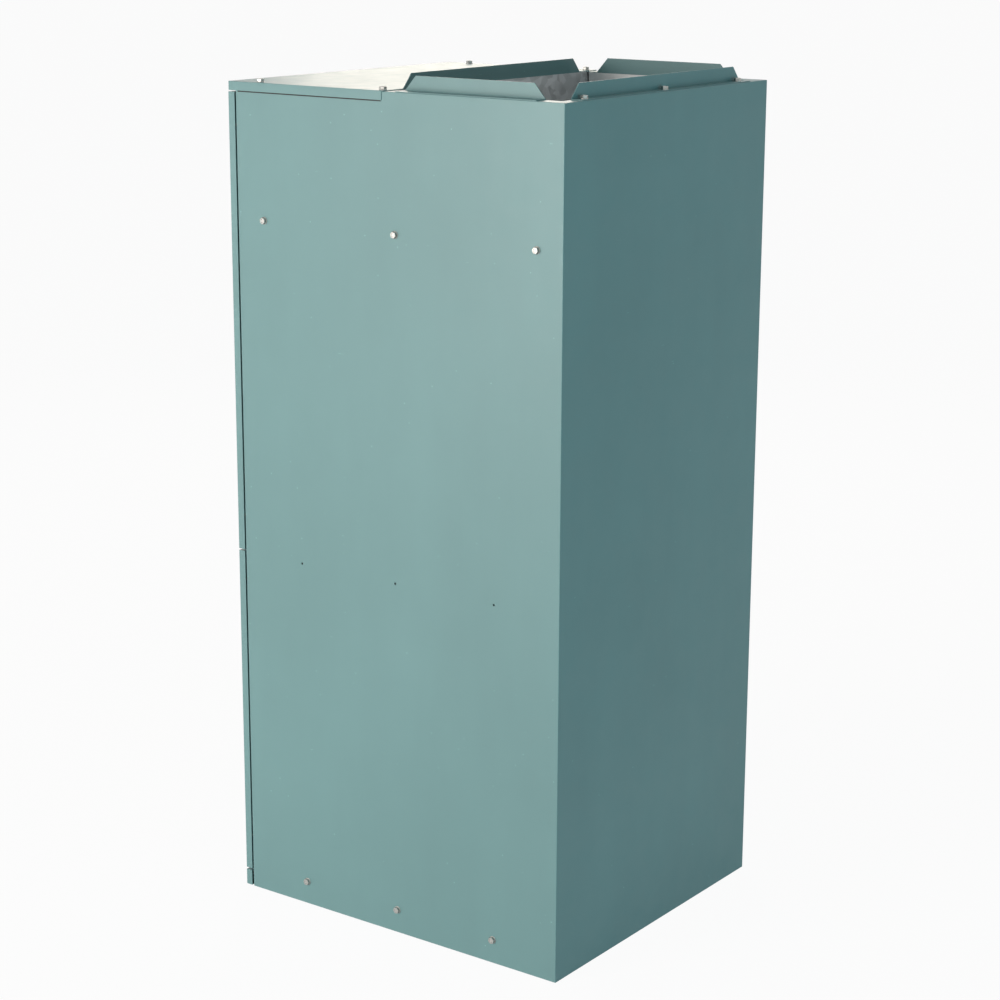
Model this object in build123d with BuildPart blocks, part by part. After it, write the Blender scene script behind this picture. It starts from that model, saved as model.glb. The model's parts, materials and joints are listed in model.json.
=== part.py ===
from build123d import *
import math
import os

# Vertical ducted air conditioner: the indoor unit of a split system, in millimetres.
# The origin is on the floor under the middle of the cabinet, +Z is up and the service
# panels face -Y. Air comes in through the open bottom and leaves through the top.

os.makedirs("parts", exist_ok=True)

# Cabinet
cab_w = 484.0  # across the two side faces
cab_d = 546.0  # from the panel faces to the back face
seam_z = 504.0  # seam between the lower and the upper access panel
blower_h = 475.0  # from that seam to the top of the blower deck
plenum_h = 171.0  # from the blower deck to the top of the cabinet
sheet = 1.0  # cabinet skin
inner_t = 1.2  # shelves, rails, scroll and brackets
ledge_side = 23.5  # ledge each side of the top opening
ledge_rear = 20.4  # ledge behind the top opening
ledge_base = 32.0  # ledge round the bottom opening
front_flange = 20.0  # upright flange each side of the front opening
duct_d = 260.0  # clear depth of the top opening
fit_gap = 0.3  # assembly clearance between sheet parts

# Duct flanges round the top opening
flange_rise = 20.0  # above the top of the cabinet
flange_inset = 18.3  # flange end in from the corner of the opening
flange_slant = 17.0  # how far each end leans in over its height
side_flange_front = 17.9  # side flange end behind the front edge of the opening
side_flange_rear = 23.8  # side flange end before the rear edge of the opening
angle_leg_rear = 18.0  # flat leg of the rear angle
angle_leg_side = 21.0  # flat leg of each side angle

# Front panels and filter door
panel_return = 11.3  # depth of a panel's folded edges
panel_gap = 2.2  # from those edges to the cabinet skin
seam_gap = 2.5  # between the two access panels
door_return = 10.5
door_gap = 3.0  # between filter door and lower panel
floor_gap = 0.5  # under the filter door
lip_h = 12.0  # folded edge of the top cover
lip_gap = 2.0  # between that edge and the upper panel
cover_setback = 1.5  # front of the cover behind the panel faces
lip_end_gap = 2.6  # side lip ends before the front duct flange

# Filter and its rails
filter_t = 19.5
filter_border = 16.0
filter_slack = 0.5
filter_front_gap = 1.5
filter_rear_gap = 6.0
rail_lip = 10.0
pleat_pitch = 24.0
media_t = 1.2

# Shelves and rails inside
seat_z = 42.0  # top of the shelf that carries the coil and its pan
seat_w = 34.0
seat_front = 30.0
deck_drop = 21.0  # folded edges of the blower deck
rail_d = 20.0
mid_rail_h = 36.0
top_rail_h = 38.0
liner_t = 12.0
liner_room = 3.0

# Screws: hex heads
screw_r = 2.1
screw_hole_r = 2.6
hex_r = 5.0
head_h = 4.6
screw_grip = 8.0
screw_tip = 2.0  # how far a panel screw passes the flange
panel_screw_in = 13.0  # in from the side face
panel_screw_up = 45.0  # from the panel's upper and lower edges
cover_screw_in = 12.0
cover_screw_front = 48.0  # behind the panel faces
cover_screw_rear = 9.6  # before the front duct flange
deck_screw_drop = 10.0
deck_screw_pitch = 223.3
deck_screw_shift = 3.2
seat_screw_drop = 8.5
seat_screw_pitch = 163.0
pilot_r = 1.6  # open pilot holes for the other mounting position
pilot_drop = 1.6  # below the panel seam
rear_screw_end = 17.2  # outer screws in from the ends of the rear angle
rear_screw_in = 12.0  # in from the back face

# Blower: forward-curved double-inlet wheel in a scroll of four growing arcs
wheel_r = 127.0
wheel_w = 254.0
blade_depth = 18.0
blade_t = 1.0
blade_count = 28
wheel_sides = 32  # facets round the wheel's rings
inlet_sides = 24
blade_lean = 6.0  # degrees that a blade tip leads its root
blade_sag = 4.6
ring_t = 3.0
disc_t = 2.5
hub_r = 21.0
hub_l = 16.0
shaft_r = 6.35
shaft_fit = 0.05
inlet_lip_gap = 4.5
bell_r = 13.0  # depth of each inlet bell
bell_flare = 7.0
inlet_reach = 4.0  # how far each inlet lip enters the wheel
scroll_growth = 26.0  # radius gained in each quarter turn
scroll_chords = 8  # in each quarter turn
cutoff_gap = 10.0
cutoff_set = 12.0
nose_r = 8.0
throat_h = 78.0
scroll_edge = 4.0  # side plate beyond the scroll sheet
hang_leg = 14.0
blower_room = 34.0  # behind the scroll
hang_front = 34.0  # hanging screws behind the cutoff
hang_pitch = 150.0

# Motor, inside the right-hand inlet
motor_r = 70.0
motor_sides = 24
motor_l = 148.0
motor_gap = 14.0  # from the wheel's disc
bell_step = 12.0
boss_r = 19.0
boss_l = 5.0
band_w = 18.0
arm_w = 22.0
arm_end_r = 147.0
arm_bolt_r = 134.0
grommet_r = 9.0
grommet_l = 7.0
bolt_r = 3.0
cable_r = 3.6

# Coil: two slabs leaning together, in a pan
coil_l = 420.0
coil_t = 42.0
coil_lean = 20.0  # degrees from upright
coil_front_room = 85.0  # from the panel faces
coil_rear_room = 18.0  # from the liner
ridge_gap = 12.0
slab_lip = 4.0
tube_pitch = 25.4
tube_count = 16
tube_r = 4.8
tube_row = 10.5
cap_lip = 12.0
pan_gap = 4.0
pan_h = 42.0
pan_wall = 3.0
pan_rib = 6.0
pan_rib_w = 8.0
inner_wall_h = 30.0
trough_in = 26.0  # slab's lower inner edge to the inner wall
rest_gap = 0.3

# Refrigerant lines and drain
line_in = 92.0  # refrigerant lines in from the side face
suction_z = 260.0
liquid_z = 165.0
stub_reach = 30.0  # in front of the panel faces
suction_r = 9.525
suction_cup_r = 9.62
suction_cup_l = 18.0
liquid_r = 4.7625
liquid_cup_r = 4.85
liquid_cup_l = 12.0
pipe_wall = 1.1
header_y = 55.0  # behind the panel faces
feeder_r = 3.2
valve_x = 60.0
valve_r = 12.0
valve_h = 44.0
valve_nut_h = 13.0
port_in = 132.0  # drain sockets in from the other side face
port_pitch = 52.0
port_up = 17.6
port_step = 8.0  # the secondary drain is this much higher
port_r = 16.0
port_bore_r = 12.05
port_bore_l = 20.0
port_reach = 12.0
drain_hole_r = 9.0
hole_slack = 1.5
grommet_wall = 5.0
grommet_lip = 2.5
grommet_bore_gap = 0.7

# Plenum partition and controls
heater_w = 220.0
heater_low = 25.0
heater_h = 100.0
blank_edge = 14.0
foot_w = 25.0
tray_room = 66.0  # from the plenum partition
tray_h = 132.0
tray_in_left = 42.0
tray_in_right = 92.0
cable_in = 52.0

# Places that follow from the sizes
cab_h = seam_z + blower_h + plenum_h
x_side = cab_w / 2
x_in = x_side - sheet
x_open = x_side - front_flange
x_duct = x_side - ledge_side
line_x = x_side - line_in
port_x = port_in - x_side
cable_x = x_side - cable_in
tray_left = tray_in_left - x_side
tray_right = x_side - tray_in_right
y_front = -cab_d / 2
y_back = cab_d / 2
y_rear = y_back - sheet
y_wrap = y_front + panel_return + panel_gap
y_flange = y_wrap + sheet
y_mid = (y_wrap + y_back) / 2
y_duct_rear = y_back - ledge_rear
y_duct_front = y_duct_rear - duct_d
deck_z = seam_z + blower_h
cover_z = cab_h + sheet
flange_z = cab_h + flange_rise
lip_z = cover_z - lip_h
rail_h = filter_t + 2 * filter_slack + 2 * inner_t
rail_top = sheet + rail_h
door_top = rail_top - 2 * fit_gap
panel_screw_grip = panel_return + panel_gap + sheet + screw_tip
lower_z0 = door_top + door_gap
lower_z1 = seam_z - seam_gap / 2
upper_z0 = seam_z + seam_gap / 2
upper_z1 = lip_z - lip_gap
seat_drop = seat_z - rail_top - 2 * fit_gap


def span(x0, x1, y0, y1, mode=Mode.ADD):
    """Draw the rectangle between two corners of the current sketch."""
    with Locations(((x0 + x1) / 2, (y0 + y1) / 2)):
        Rectangle(x1 - x0, y1 - y0, mode=mode)


def upright(y):
    """The plane across the cabinet at depth y, seen from the front: local x, z."""
    return Plane(origin=(0, y, 0), x_dir=(1, 0, 0), z_dir=(0, -1, 0))


def side_on(x):
    """The plane along the cabinet at x, seen from the right: local y, z."""
    return Plane(origin=(x, 0, 0), x_dir=(0, 1, 0), z_dir=(1, 0, 0))


def floor_at(z):
    """The level plane at height z."""
    return Plane.XY.offset(z)


def keep(piece, name):
    """Name a finished piece and write it."""
    piece.part.label = name
    export_step(piece.part, f"parts/{name}.step")


def screw(seat, grip=screw_grip):
    """Add a hex head screw to the current part, seated on a plane."""
    with BuildSketch(seat) as shank:
        RegularPolygon(screw_r, 6)
    extrude(shank.sketch, amount=-grip)
    with BuildSketch(seat) as head:
        RegularPolygon(hex_r, 6)
    extrude(head.sketch, amount=head_h)


def holes(plane, places, radius, depth, sides=6):
    """Cut holes back from a plane at local places; small ones are drawn with six sides."""
    with BuildSketch(plane) as cuts:
        with Locations(*places):
            if sides:
                RegularPolygon(radius, sides)
            else:
                Circle(radius)
    extrude(cuts.sketch, amount=-depth, mode=Mode.SUBTRACT)


def bent_route(points, bend):
    """The points of a route whose corners follow arcs of this radius in two chords each."""
    places = [Vector(*p) for p in points]
    route = [places[0]]
    for before, corner, after in zip(places, places[1:], places[2:]):
        u, v = (before - corner).normalized(), (after - corner).normalized()
        half = math.radians(u.get_angle(v)) / 2
        inward = (u + v).normalized()
        reach = bend / math.tan(half)
        route.append(corner + u * reach)
        route.append(corner + inward * (bend / math.sin(half) - bend))
        route.append(corner + v * reach)
    return route + [places[-1]]


def pipe(points, radius, bend, sides):
    """Add a bent tube to the current part; its sealed bore is left out."""
    with BuildLine() as route:
        Polyline(*bent_route(points, bend))
    with BuildSketch(Plane(origin=route.line @ 0, z_dir=route.line % 0)) as ring:
        RegularPolygon(radius, sides)
    sweep(ring.sketch, path=route.line, transition=Transition.RIGHT)


# Screw rows along the depth
deck_row = [y_mid + deck_screw_shift + i * deck_screw_pitch for i in (-1, 0, 1)]
seat_row = [y_mid + i * seat_screw_pitch for i in (-1, 0, 1)]
deck_screw_z = deck_z - deck_screw_drop
seat_screw_z = seat_z - seat_screw_drop
pilot_z = seam_z - pilot_drop
side_screw_places = [(y, deck_screw_z) for y in deck_row] + [(y, seat_screw_z) for y in seat_row]
pilot_places = [(y, pilot_z) for y in seat_row]

# Screws down through the top cover and the rear angle
cover_row = (y_front + cover_screw_front, y_duct_front - cover_screw_rear)
cover_screw_places = [(s * (x_side - cover_screw_in), y) for s in (-1, 1) for y in cover_row]
flange_half = x_duct - flange_inset
rear_screw_pitch = flange_half - rear_screw_end
rear_screw_places = [(i * rear_screw_pitch, y_back - rear_screw_in) for i in (-1, 0, 1)]

# Screws back through the front panels
panel_screw_x = x_side - panel_screw_in
upper_screw_row = (upper_z0 + panel_screw_up, upper_z1 - panel_screw_up)
lower_screw_row = (lower_z0 + panel_screw_up, lower_z1 - panel_screw_up)
upper_screw_places = [(s * panel_screw_x, z) for s in (-1, 1) for z in upper_screw_row]
lower_screw_places = [(s * panel_screw_x, z) for s in (-1, 1) for z in lower_screw_row]
door_screw_places = [(s * panel_screw_x, (floor_gap + door_top) / 2) for s in (-1, 1)]

# Cabinet wrapper: right side, back and left side in one sheet, with inward flanges
with BuildPart() as cabinet_wrapper:
    with BuildSketch(floor_at(0)):
        span(-x_side, x_side, y_wrap, y_back)
    extrude(amount=cab_h)
    fillet(cabinet_wrapper.edges().filter_by(Axis.Z), radius=sheet)
    rims = cabinet_wrapper.faces().filter_by(Axis.Z).edges()
    chamfer(rims.filter_by(lambda e: e.center().Y > y_wrap + 2 * sheet), length=sheet / 2)
    with BuildSketch(floor_at(sheet)):
        span(-x_in, x_in, y_flange, y_rear)
    extrude(amount=cab_h - 2 * sheet, mode=Mode.SUBTRACT)
    with BuildSketch(floor_at(cab_h)):
        span(-x_duct, x_duct, y_front, y_duct_rear)
    extrude(amount=-sheet, mode=Mode.SUBTRACT)
    with BuildSketch(floor_at(0)):
        span(-x_side + ledge_base, x_side - ledge_base, y_front, y_back - ledge_base)
    extrude(amount=sheet, mode=Mode.SUBTRACT)
    with BuildSketch(upright(y_front)):
        span(-x_open, x_open, 0, cab_h)
    extrude(amount=-(y_flange - y_front), mode=Mode.SUBTRACT)
    holes(side_on(x_side), side_screw_places, screw_hole_r, cab_w)
    holes(side_on(x_side), pilot_places, pilot_r, cab_w, 8)
    holes(floor_at(cab_h), cover_screw_places + rear_screw_places, screw_hole_r, sheet)
    front_places = upper_screw_places + lower_screw_places + door_screw_places
    holes(upright(y_front), front_places, screw_hole_r, y_flange - y_front)
keep(cabinet_wrapper, "cabinet_wrapper")

# Top cover over the control compartment; its rear edge turns up as the front duct flange
y_cover = y_front + cover_setback
x_cover = x_side + sheet
with BuildPart() as top_cover:
    with BuildSketch(floor_at(lip_z)):
        span(-x_cover, x_cover, y_cover, y_duct_front)
    extrude(amount=lip_h)
    fillet(top_cover.edges().filter_by(Axis.Z).group_by(Axis.Y)[0], radius=sheet)
    rim = top_cover.faces().sort_by(Axis.Z)[-1].edges()
    chamfer(rim.filter_by(lambda e: e.center().Y < y_duct_front - sheet), length=sheet / 2)
    with BuildSketch(floor_at(lip_z)):
        span(-x_side, x_side, y_cover + sheet, y_duct_front)
        span(-x_cover, x_cover, y_duct_front - lip_end_gap, y_duct_front)
    extrude(amount=lip_h - sheet, mode=Mode.SUBTRACT)
    with BuildSketch(upright(y_duct_front)):
        with BuildLine():
            Polyline(
                (-flange_half, cab_h),
                (flange_half, cab_h),
                (flange_half, cover_z),
                (flange_half - flange_slant, flange_z),
                (-flange_half + flange_slant, flange_z),
                (-flange_half, cover_z),
                close=True,
            )
        make_face()
    extrude(amount=sheet)
    holes(floor_at(cover_z), cover_screw_places, screw_hole_r, sheet)
keep(top_cover, "top_cover")


def duct_angle(seat, half, leg):
    """An angle on the ledge: local x runs along it, y is up and z points away from the duct."""
    with BuildPart() as angle:
        with BuildSketch(seat) as leaf:
            with BuildLine():
                Polyline(
                    (-half, 0),
                    (half, 0),
                    (half, sheet),
                    (half - flange_slant, flange_rise),
                    (-half + flange_slant, flange_rise),
                    (-half, sheet),
                    close=True,
                )
            make_face()
        extrude(leaf.sketch, amount=sheet)
        with BuildSketch(seat) as foot:
            span(-half, half, 0, sheet)
        extrude(foot.sketch, amount=leg)
    return angle


rear_seat = Plane(origin=(0, y_duct_rear, cab_h), x_dir=(-1, 0, 0), z_dir=(0, 1, 0))
duct_flange_rear = duct_angle(rear_seat, flange_half, angle_leg_rear)
with duct_flange_rear:
    holes(floor_at(cab_h + sheet), rear_screw_places, screw_hole_r, sheet)
keep(duct_flange_rear, "duct_flange_rear")

side_flange_y0 = y_duct_front + side_flange_front
side_flange_y1 = y_duct_rear - side_flange_rear
side_flange_mid = (side_flange_y0 + side_flange_y1) / 2
side_flange_half = (side_flange_y1 - side_flange_y0) / 2
for side, name in ((1, "duct_flange_right"), (-1, "duct_flange_left")):
    side_seat = Plane(
        origin=(side * x_duct, side_flange_mid, cab_h), x_dir=(0, side, 0), z_dir=(side, 0, 0)
    )
    keep(duct_angle(side_seat, side_flange_half, angle_leg_side), name)


def shelf(z_top, drop, opening):
    """A shelf across the cabinet with its four edges folded down and a cut-out."""
    with BuildPart() as tray:
        with BuildSketch(floor_at(z_top)) as outline:
            span(-x_in, x_in, y_flange, y_rear)
        extrude(outline.sketch, amount=-drop)
        with BuildSketch(floor_at(z_top - drop)) as hollow:
            span(-x_in + inner_t, x_in - inner_t, y_flange + inner_t, y_rear - inner_t)
        extrude(hollow.sketch, amount=drop - inner_t, mode=Mode.SUBTRACT)
        with BuildSketch(floor_at(z_top)) as cut:
            span(*opening)
        extrude(cut.sketch, amount=-inner_t, mode=Mode.SUBTRACT)
    return tray


def front_rail(z_low, z_high):
    """A channel across the cabinet behind the front flanges, open to the rear."""
    with BuildPart() as rail:
        with BuildSketch(side_on(-x_in + fit_gap)) as section:
            span(y_flange, y_flange + rail_d, z_low, z_high)
            span(
                y_flange + inner_t,
                y_flange + rail_d,
                z_low + inner_t,
                z_high - inner_t,
                mode=Mode.SUBTRACT,
            )
        extrude(section.sketch, amount=2 * (x_in - fit_gap))
    return rail


# Coil support shelf, which also closes the cabinet above the filter slot
seat_x = x_in - seat_w
seat_y0 = y_flange + seat_front
seat_y1 = y_rear - seat_front
coil_support_shelf = shelf(seat_z, seat_drop, (-seat_x, seat_x, seat_y0, seat_y1))
with coil_support_shelf:
    holes(side_on(x_side), [(y, seat_screw_z) for y in seat_row], screw_hole_r, cab_w)
keep(coil_support_shelf, "coil_support_shelf")

keep(front_rail(seam_z - mid_rail_h / 2, seam_z + mid_rail_h / 2), "front_mid_rail")
keep(front_rail(cab_h - sheet - top_rail_h, cab_h - sheet), "front_top_rail")

# Filter rails on the bottom ledge, and the filter that slides between them
x_filter = x_open - 2 * filter_front_gap
x_rail = x_filter + filter_slack + inner_t
rail_y0 = y_flange + fit_gap
rail_y1 = y_rear - fit_gap
with BuildPart() as filter_rails:
    with BuildSketch(upright(rail_y0)):
        span(x_rail - rail_lip, x_rail, sheet, rail_top)
        inner = (x_rail - rail_lip, x_rail - inner_t)
        span(*inner, sheet + inner_t, rail_top - inner_t, mode=Mode.SUBTRACT)
        mirror(about=Plane.YZ)
    extrude(amount=-(rail_y1 - rail_y0))
keep(filter_rails, "filter_rails")

filter_y0 = y_flange + filter_front_gap
filter_y1 = y_rear - filter_rear_gap
filter_z0 = sheet + inner_t + filter_slack
filter_z1 = filter_z0 + filter_t
media_x = x_filter - filter_border
media_y0 = filter_y0 + filter_border
media_y1 = filter_y1 - filter_border
with BuildPart() as filter_frame:
    with BuildSketch(floor_at(filter_z0)):
        span(-x_filter, x_filter, filter_y0, filter_y1)
        span(-media_x, media_x, media_y0, media_y1, mode=Mode.SUBTRACT)
    extrude(amount=filter_t)
keep(filter_frame, "filter_frame")

# Pleated filter media: one zigzag band that runs the depth of the frame
pleats = round((media_y1 - media_y0) / pleat_pitch)
half_pitch = (media_y1 - media_y0 - 2 * fit_gap) / (2 * pleats)
media_low = filter_z0 + media_t
media_high = filter_z1 - 2 * media_t
zigzag = [
    (media_y0 + fit_gap + i * half_pitch, media_high if i % 2 else media_low)
    for i in range(2 * pleats + 1)
]
band = zigzag + [(y, z + media_t) for y, z in reversed(zigzag)]
with BuildPart() as filter_media:
    with BuildSketch(side_on(-media_x + fit_gap)):
        with BuildLine():
            Polyline(*band, close=True)
        make_face()
    extrude(amount=2 * (media_x - fit_gap))
keep(filter_media, "filter_media")


def panel(z_low, z_high, depth):
    """A sheet pan: a face with its four edges folded back by the depth."""
    with BuildPart() as pan:
        with BuildSketch(upright(y_front)) as face:
            span(-x_side, x_side, z_low, z_high)
        extrude(face.sketch, amount=-depth)
        chamfer(pan.faces().sort_by(Axis.Y)[0].edges(), length=sheet * 0.7)
        with BuildSketch(upright(y_front + sheet)) as hollow:
            span(-x_in, x_in, z_low + sheet, z_high - sheet)
        extrude(hollow.sketch, amount=-depth, mode=Mode.SUBTRACT)
    return pan


def panel_pad(z_low, z_high):
    """The foam pad glued inside a panel, between the screw rows."""
    reach = panel_return + panel_gap - sheet - fit_gap
    with BuildPart() as pad:
        with BuildSketch(upright(y_front + sheet)) as block:
            span(-x_pad, x_pad, z_low + sheet + pad_in, z_high - sheet - pad_in)
        extrude(block.sketch, amount=-reach)
    return pad


pad_in = 5.0
x_pad = x_open - 1.0 - fit_gap
port_z = seat_z + port_up
port_places = [(port_x, port_z), (port_x - port_pitch, port_z + port_step)]
suction_place = (line_x, suction_z)
liquid_place = (line_x, liquid_z)
suction_swage_r = suction_cup_r + pipe_wall
liquid_swage_r = liquid_cup_r + pipe_wall
grommet_bores = ((suction_place, suction_swage_r), (liquid_place, liquid_swage_r))

upper_access_panel = panel(upper_z0, upper_z1, panel_return)
with upper_access_panel:
    holes(upright(y_front), upper_screw_places, screw_hole_r, sheet)
keep(upper_access_panel, "upper_access_panel")

keep(panel_pad(upper_z0, upper_z1), "upper_panel_liner")

lower_access_panel = panel(lower_z0, lower_z1, panel_return)
with lower_access_panel:
    holes(upright(y_front), lower_screw_places, screw_hole_r, sheet)
    holes(upright(y_front), port_places, port_r + hole_slack, sheet, 16)
    for place, radius in grommet_bores:
        holes(upright(y_front), [place], radius + grommet_wall, sheet, 12)
keep(lower_access_panel, "lower_access_panel")

lower_panel_liner = panel_pad(lower_z0, lower_z1)
with lower_panel_liner:
    through = panel_return + panel_gap
    holes(upright(y_front), port_places, port_r + hole_slack, through, 16)
    for place, radius in grommet_bores:
        holes(upright(y_front), [place], radius + grommet_wall + 2 * grommet_lip, through, 12)
keep(lower_panel_liner, "lower_panel_liner")

# Grommets round the refrigerant stubs, held by the panel's edge in their groove
with BuildPart() as line_grommets:
    for place, radius in grommet_bores:
        with BuildSketch(upright(y_front - grommet_lip)):
            with Locations(place):
                RegularPolygon(radius + grommet_wall + grommet_lip, 12)
                RegularPolygon(radius + grommet_bore_gap, 12, mode=Mode.SUBTRACT)
        extrude(amount=-(2 * grommet_lip + sheet))
        with BuildSketch(upright(y_front)):
            with Locations(place):
                RegularPolygon(radius + grommet_wall + 2 * grommet_lip, 12)
                RegularPolygon(radius + grommet_wall, 12, mode=Mode.SUBTRACT)
        extrude(amount=-sheet, mode=Mode.SUBTRACT)
keep(line_grommets, "line_grommets")

filter_door = panel(floor_gap, door_top, door_return)
with filter_door:
    holes(upright(y_front), door_screw_places, screw_hole_r, sheet)
keep(filter_door, "filter_door")

# Fasteners, each set as one group
with BuildPart() as upper_panel_screws:
    for x, z in upper_screw_places:
        screw(Plane(origin=(x, y_front, z), z_dir=(0, -1, 0)), panel_screw_grip)
keep(upper_panel_screws, "upper_panel_screws")

with BuildPart() as lower_panel_screws:
    for x, z in lower_screw_places:
        screw(Plane(origin=(x, y_front, z), z_dir=(0, -1, 0)), panel_screw_grip)
keep(lower_panel_screws, "lower_panel_screws")

with BuildPart() as door_screws:
    for x, z in door_screw_places:
        screw(Plane(origin=(x, y_front, z), z_dir=(0, -1, 0)), panel_screw_grip)
keep(door_screws, "door_screws")

with BuildPart() as side_screws:
    for side in (-1, 1):
        for y, z in side_screw_places:
            screw(Plane(origin=(side * x_side, y, z), z_dir=(side, 0, 0)))
keep(side_screws, "side_screws")

with BuildPart() as top_screws:
    for x, y in cover_screw_places:
        screw(Plane(origin=(x, y, cover_z)))
    for x, y in rear_screw_places:
        screw(Plane(origin=(x, y, cab_h + sheet)))
keep(top_screws, "top_screws")


def wall_liner(z_low, z_high):
    """Foil-faced foam on the two sides and the back, clear of the front rails."""
    with BuildPart() as foam:
        with BuildSketch(floor_at(z_low)) as plan:
            y_start = y_flange + rail_d + liner_room
            span(-x_in, x_in, y_start, y_rear)
            span(-x_in + liner_t, x_in - liner_t, y_start, y_rear - liner_t, mode=Mode.SUBTRACT)
        extrude(plan.sketch, amount=z_high - z_low)
    return foam


coil_liner_z = seat_z + pan_h + liner_room
liner_seam = mid_rail_h / 2 + liner_room
keep(wall_liner(coil_liner_z, seam_z - liner_seam), "coil_liner")
keep(wall_liner(seam_z + liner_seam, deck_z - deck_drop - liner_room), "blower_liner")

# Plenum: partition at the front, foam flush with the duct flanges on the other sides
y_part = y_duct_front + fit_gap
y_part_rear = y_part + inner_t
with BuildPart() as plenum_liner:
    with BuildSketch(floor_at(deck_z)):
        y_start = y_part_rear + 2 * sheet
        span(-x_in, x_in, y_start, y_rear)
        span(-x_duct, x_duct, y_start, y_duct_rear, mode=Mode.SUBTRACT)
    extrude(amount=plenum_h - sheet)
    holes(floor_at(cab_h - sheet), rear_screw_places, screw_hole_r, screw_grip)
keep(plenum_liner, "plenum_liner")

heater_z0 = deck_z + heater_low
heater_z1 = heater_z0 + heater_h
with BuildPart() as plenum_partition:
    with BuildSketch(upright(y_part)):
        span(-x_in + fit_gap, x_in - fit_gap, deck_z, cab_h - sheet)
        span(-x_duct + fit_gap, x_duct - fit_gap, cab_h - sheet, cab_h)
        span(-heater_w / 2, heater_w / 2, heater_z0, heater_z1, mode=Mode.SUBTRACT)
    extrude(amount=-inner_t)
    with BuildSketch(floor_at(deck_z)):
        span(-x_in + fit_gap, x_in - fit_gap, y_part - foot_w, y_part)
    extrude(amount=inner_t)
keep(plenum_partition, "plenum_partition")

with BuildPart() as heater_blank_plate:
    with BuildSketch(upright(y_part)):
        blank_x = heater_w / 2 + blank_edge
        span(-blank_x, blank_x, heater_z0 - blank_edge, heater_z1 + blank_edge)
    extrude(amount=inner_t)
keep(heater_blank_plate, "heater_blank_plate")

# Scroll: four arcs about the corners of a small square, so that its radius grows evenly
half_growth = scroll_growth / 2
first_r = wheel_r + cutoff_gap + half_growth
second_r = first_r + scroll_growth
third_r = second_r + scroll_growth
scroll_back = half_growth + third_r
scroll_top = first_r - half_growth
deck_under = deck_z - inner_t
outlet_up = scroll_top + throat_h
wheel_y = y_rear - liner_t - blower_room - inner_t - scroll_back
wheel_z = deck_under - outlet_up
cut_y = cutoff_set - half_growth
scroll_half = wheel_w / 2 + bell_r - inlet_reach - inner_t
wheel_axis = Axis((0, wheel_y, wheel_z), (1, 0, 0))


def wheel_plane(x):
    """The plane square to the wheel's axis at x, centred on that axis: local y, z."""
    return Plane(origin=(x, wheel_y, wheel_z), x_dir=(0, 1, 0), z_dir=(1, 0, 0))


def rings(places, sides):
    """The polygons to loft through along the wheel's axis, at (x, radius) places."""
    found = []
    for x, radius in places:
        with BuildSketch(wheel_plane(x)) as ring:
            RegularPolygon(radius, sides)
        found.append(ring.sketch)
    return found


def turn_points(y, z, radius, start, sweep_angle, chords):
    """Points along an arc about (y, z), from its start in even chords."""
    turns = [math.radians(start + sweep_angle * i / chords) for i in range(chords + 1)]
    return [(y + radius * math.cos(t), z + radius * math.sin(t)) for t in turns]


def volute(edge):
    """The scroll's outline, standing off its inner surface by the edge."""
    low = -half_growth + first_r + edge
    nose = nose_r - edge
    places = turn_points(-half_growth, -half_growth, first_r + edge, 90, 90, scroll_chords)
    places += turn_points(half_growth, -half_growth, second_r + edge, 180, 90, scroll_chords)[1:]
    places += turn_points(half_growth, half_growth, third_r + edge, 270, 90, scroll_chords)[1:]
    places += [(scroll_back + edge, outlet_up), (cut_y - edge, outlet_up)]
    places += turn_points(cut_y - edge - nose, low + nose, nose, 0, -90, 3)
    with BuildSketch() as outline:
        with BuildLine():
            Polyline(*places, close=True)
        make_face()
    return outline.sketch


with BuildPart() as scroll_wrap:
    with BuildSketch(wheel_plane(-scroll_half)):
        add(volute(inner_t))
        add(volute(0), mode=Mode.SUBTRACT)
    extrude(amount=2 * scroll_half)
keep(scroll_wrap, "scroll_wrap")

# Side plates with drawn inlet rings; the right one is mirrored for the left
throat_r = wheel_r - blade_depth - inlet_lip_gap - inner_t
bell_x = scroll_half + inner_t - bell_r
bell_c = throat_r + bell_flare
hang_x = scroll_half + hang_leg / 2 + inner_t / 2
hang_places = [(hang_x, wheel_y + hang_front + i * hang_pitch) for i in (0, 1)]
arm_angles = (90, 210, 330)
bell_in = [(bell_x + bell_r, bell_c), (bell_x, throat_r)]
bell_out = [(x, radius + inner_t) for x, radius in bell_in]
with BuildPart() as scroll_side_right:
    with BuildSketch(wheel_plane(scroll_half)):
        add(volute(scroll_edge))
        with PolarLocations(arm_bolt_r, 3, start_angle=90):
            RegularPolygon(bolt_r + 2 * fit_gap, 8, mode=Mode.SUBTRACT)
    extrude(amount=inner_t)
    loft(rings(bell_out, inlet_sides), ruled=True)
    loft(rings(bell_in, inlet_sides), ruled=True, mode=Mode.SUBTRACT)
    with BuildSketch(floor_at(deck_under)):
        hang_y0 = wheel_y + cut_y - scroll_edge
        hang_y1 = wheel_y + scroll_back + scroll_edge
        span(scroll_half, scroll_half + hang_leg, hang_y0, hang_y1)
        with Locations(*hang_places):
            RegularPolygon(screw_hole_r, 6, mode=Mode.SUBTRACT)
    extrude(amount=-inner_t)
keep(scroll_side_right, "scroll_side_right")

with BuildPart() as scroll_side_left:
    mirror(scroll_side_right.part, about=Plane.YZ)
keep(scroll_side_left, "scroll_side_left")

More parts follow.
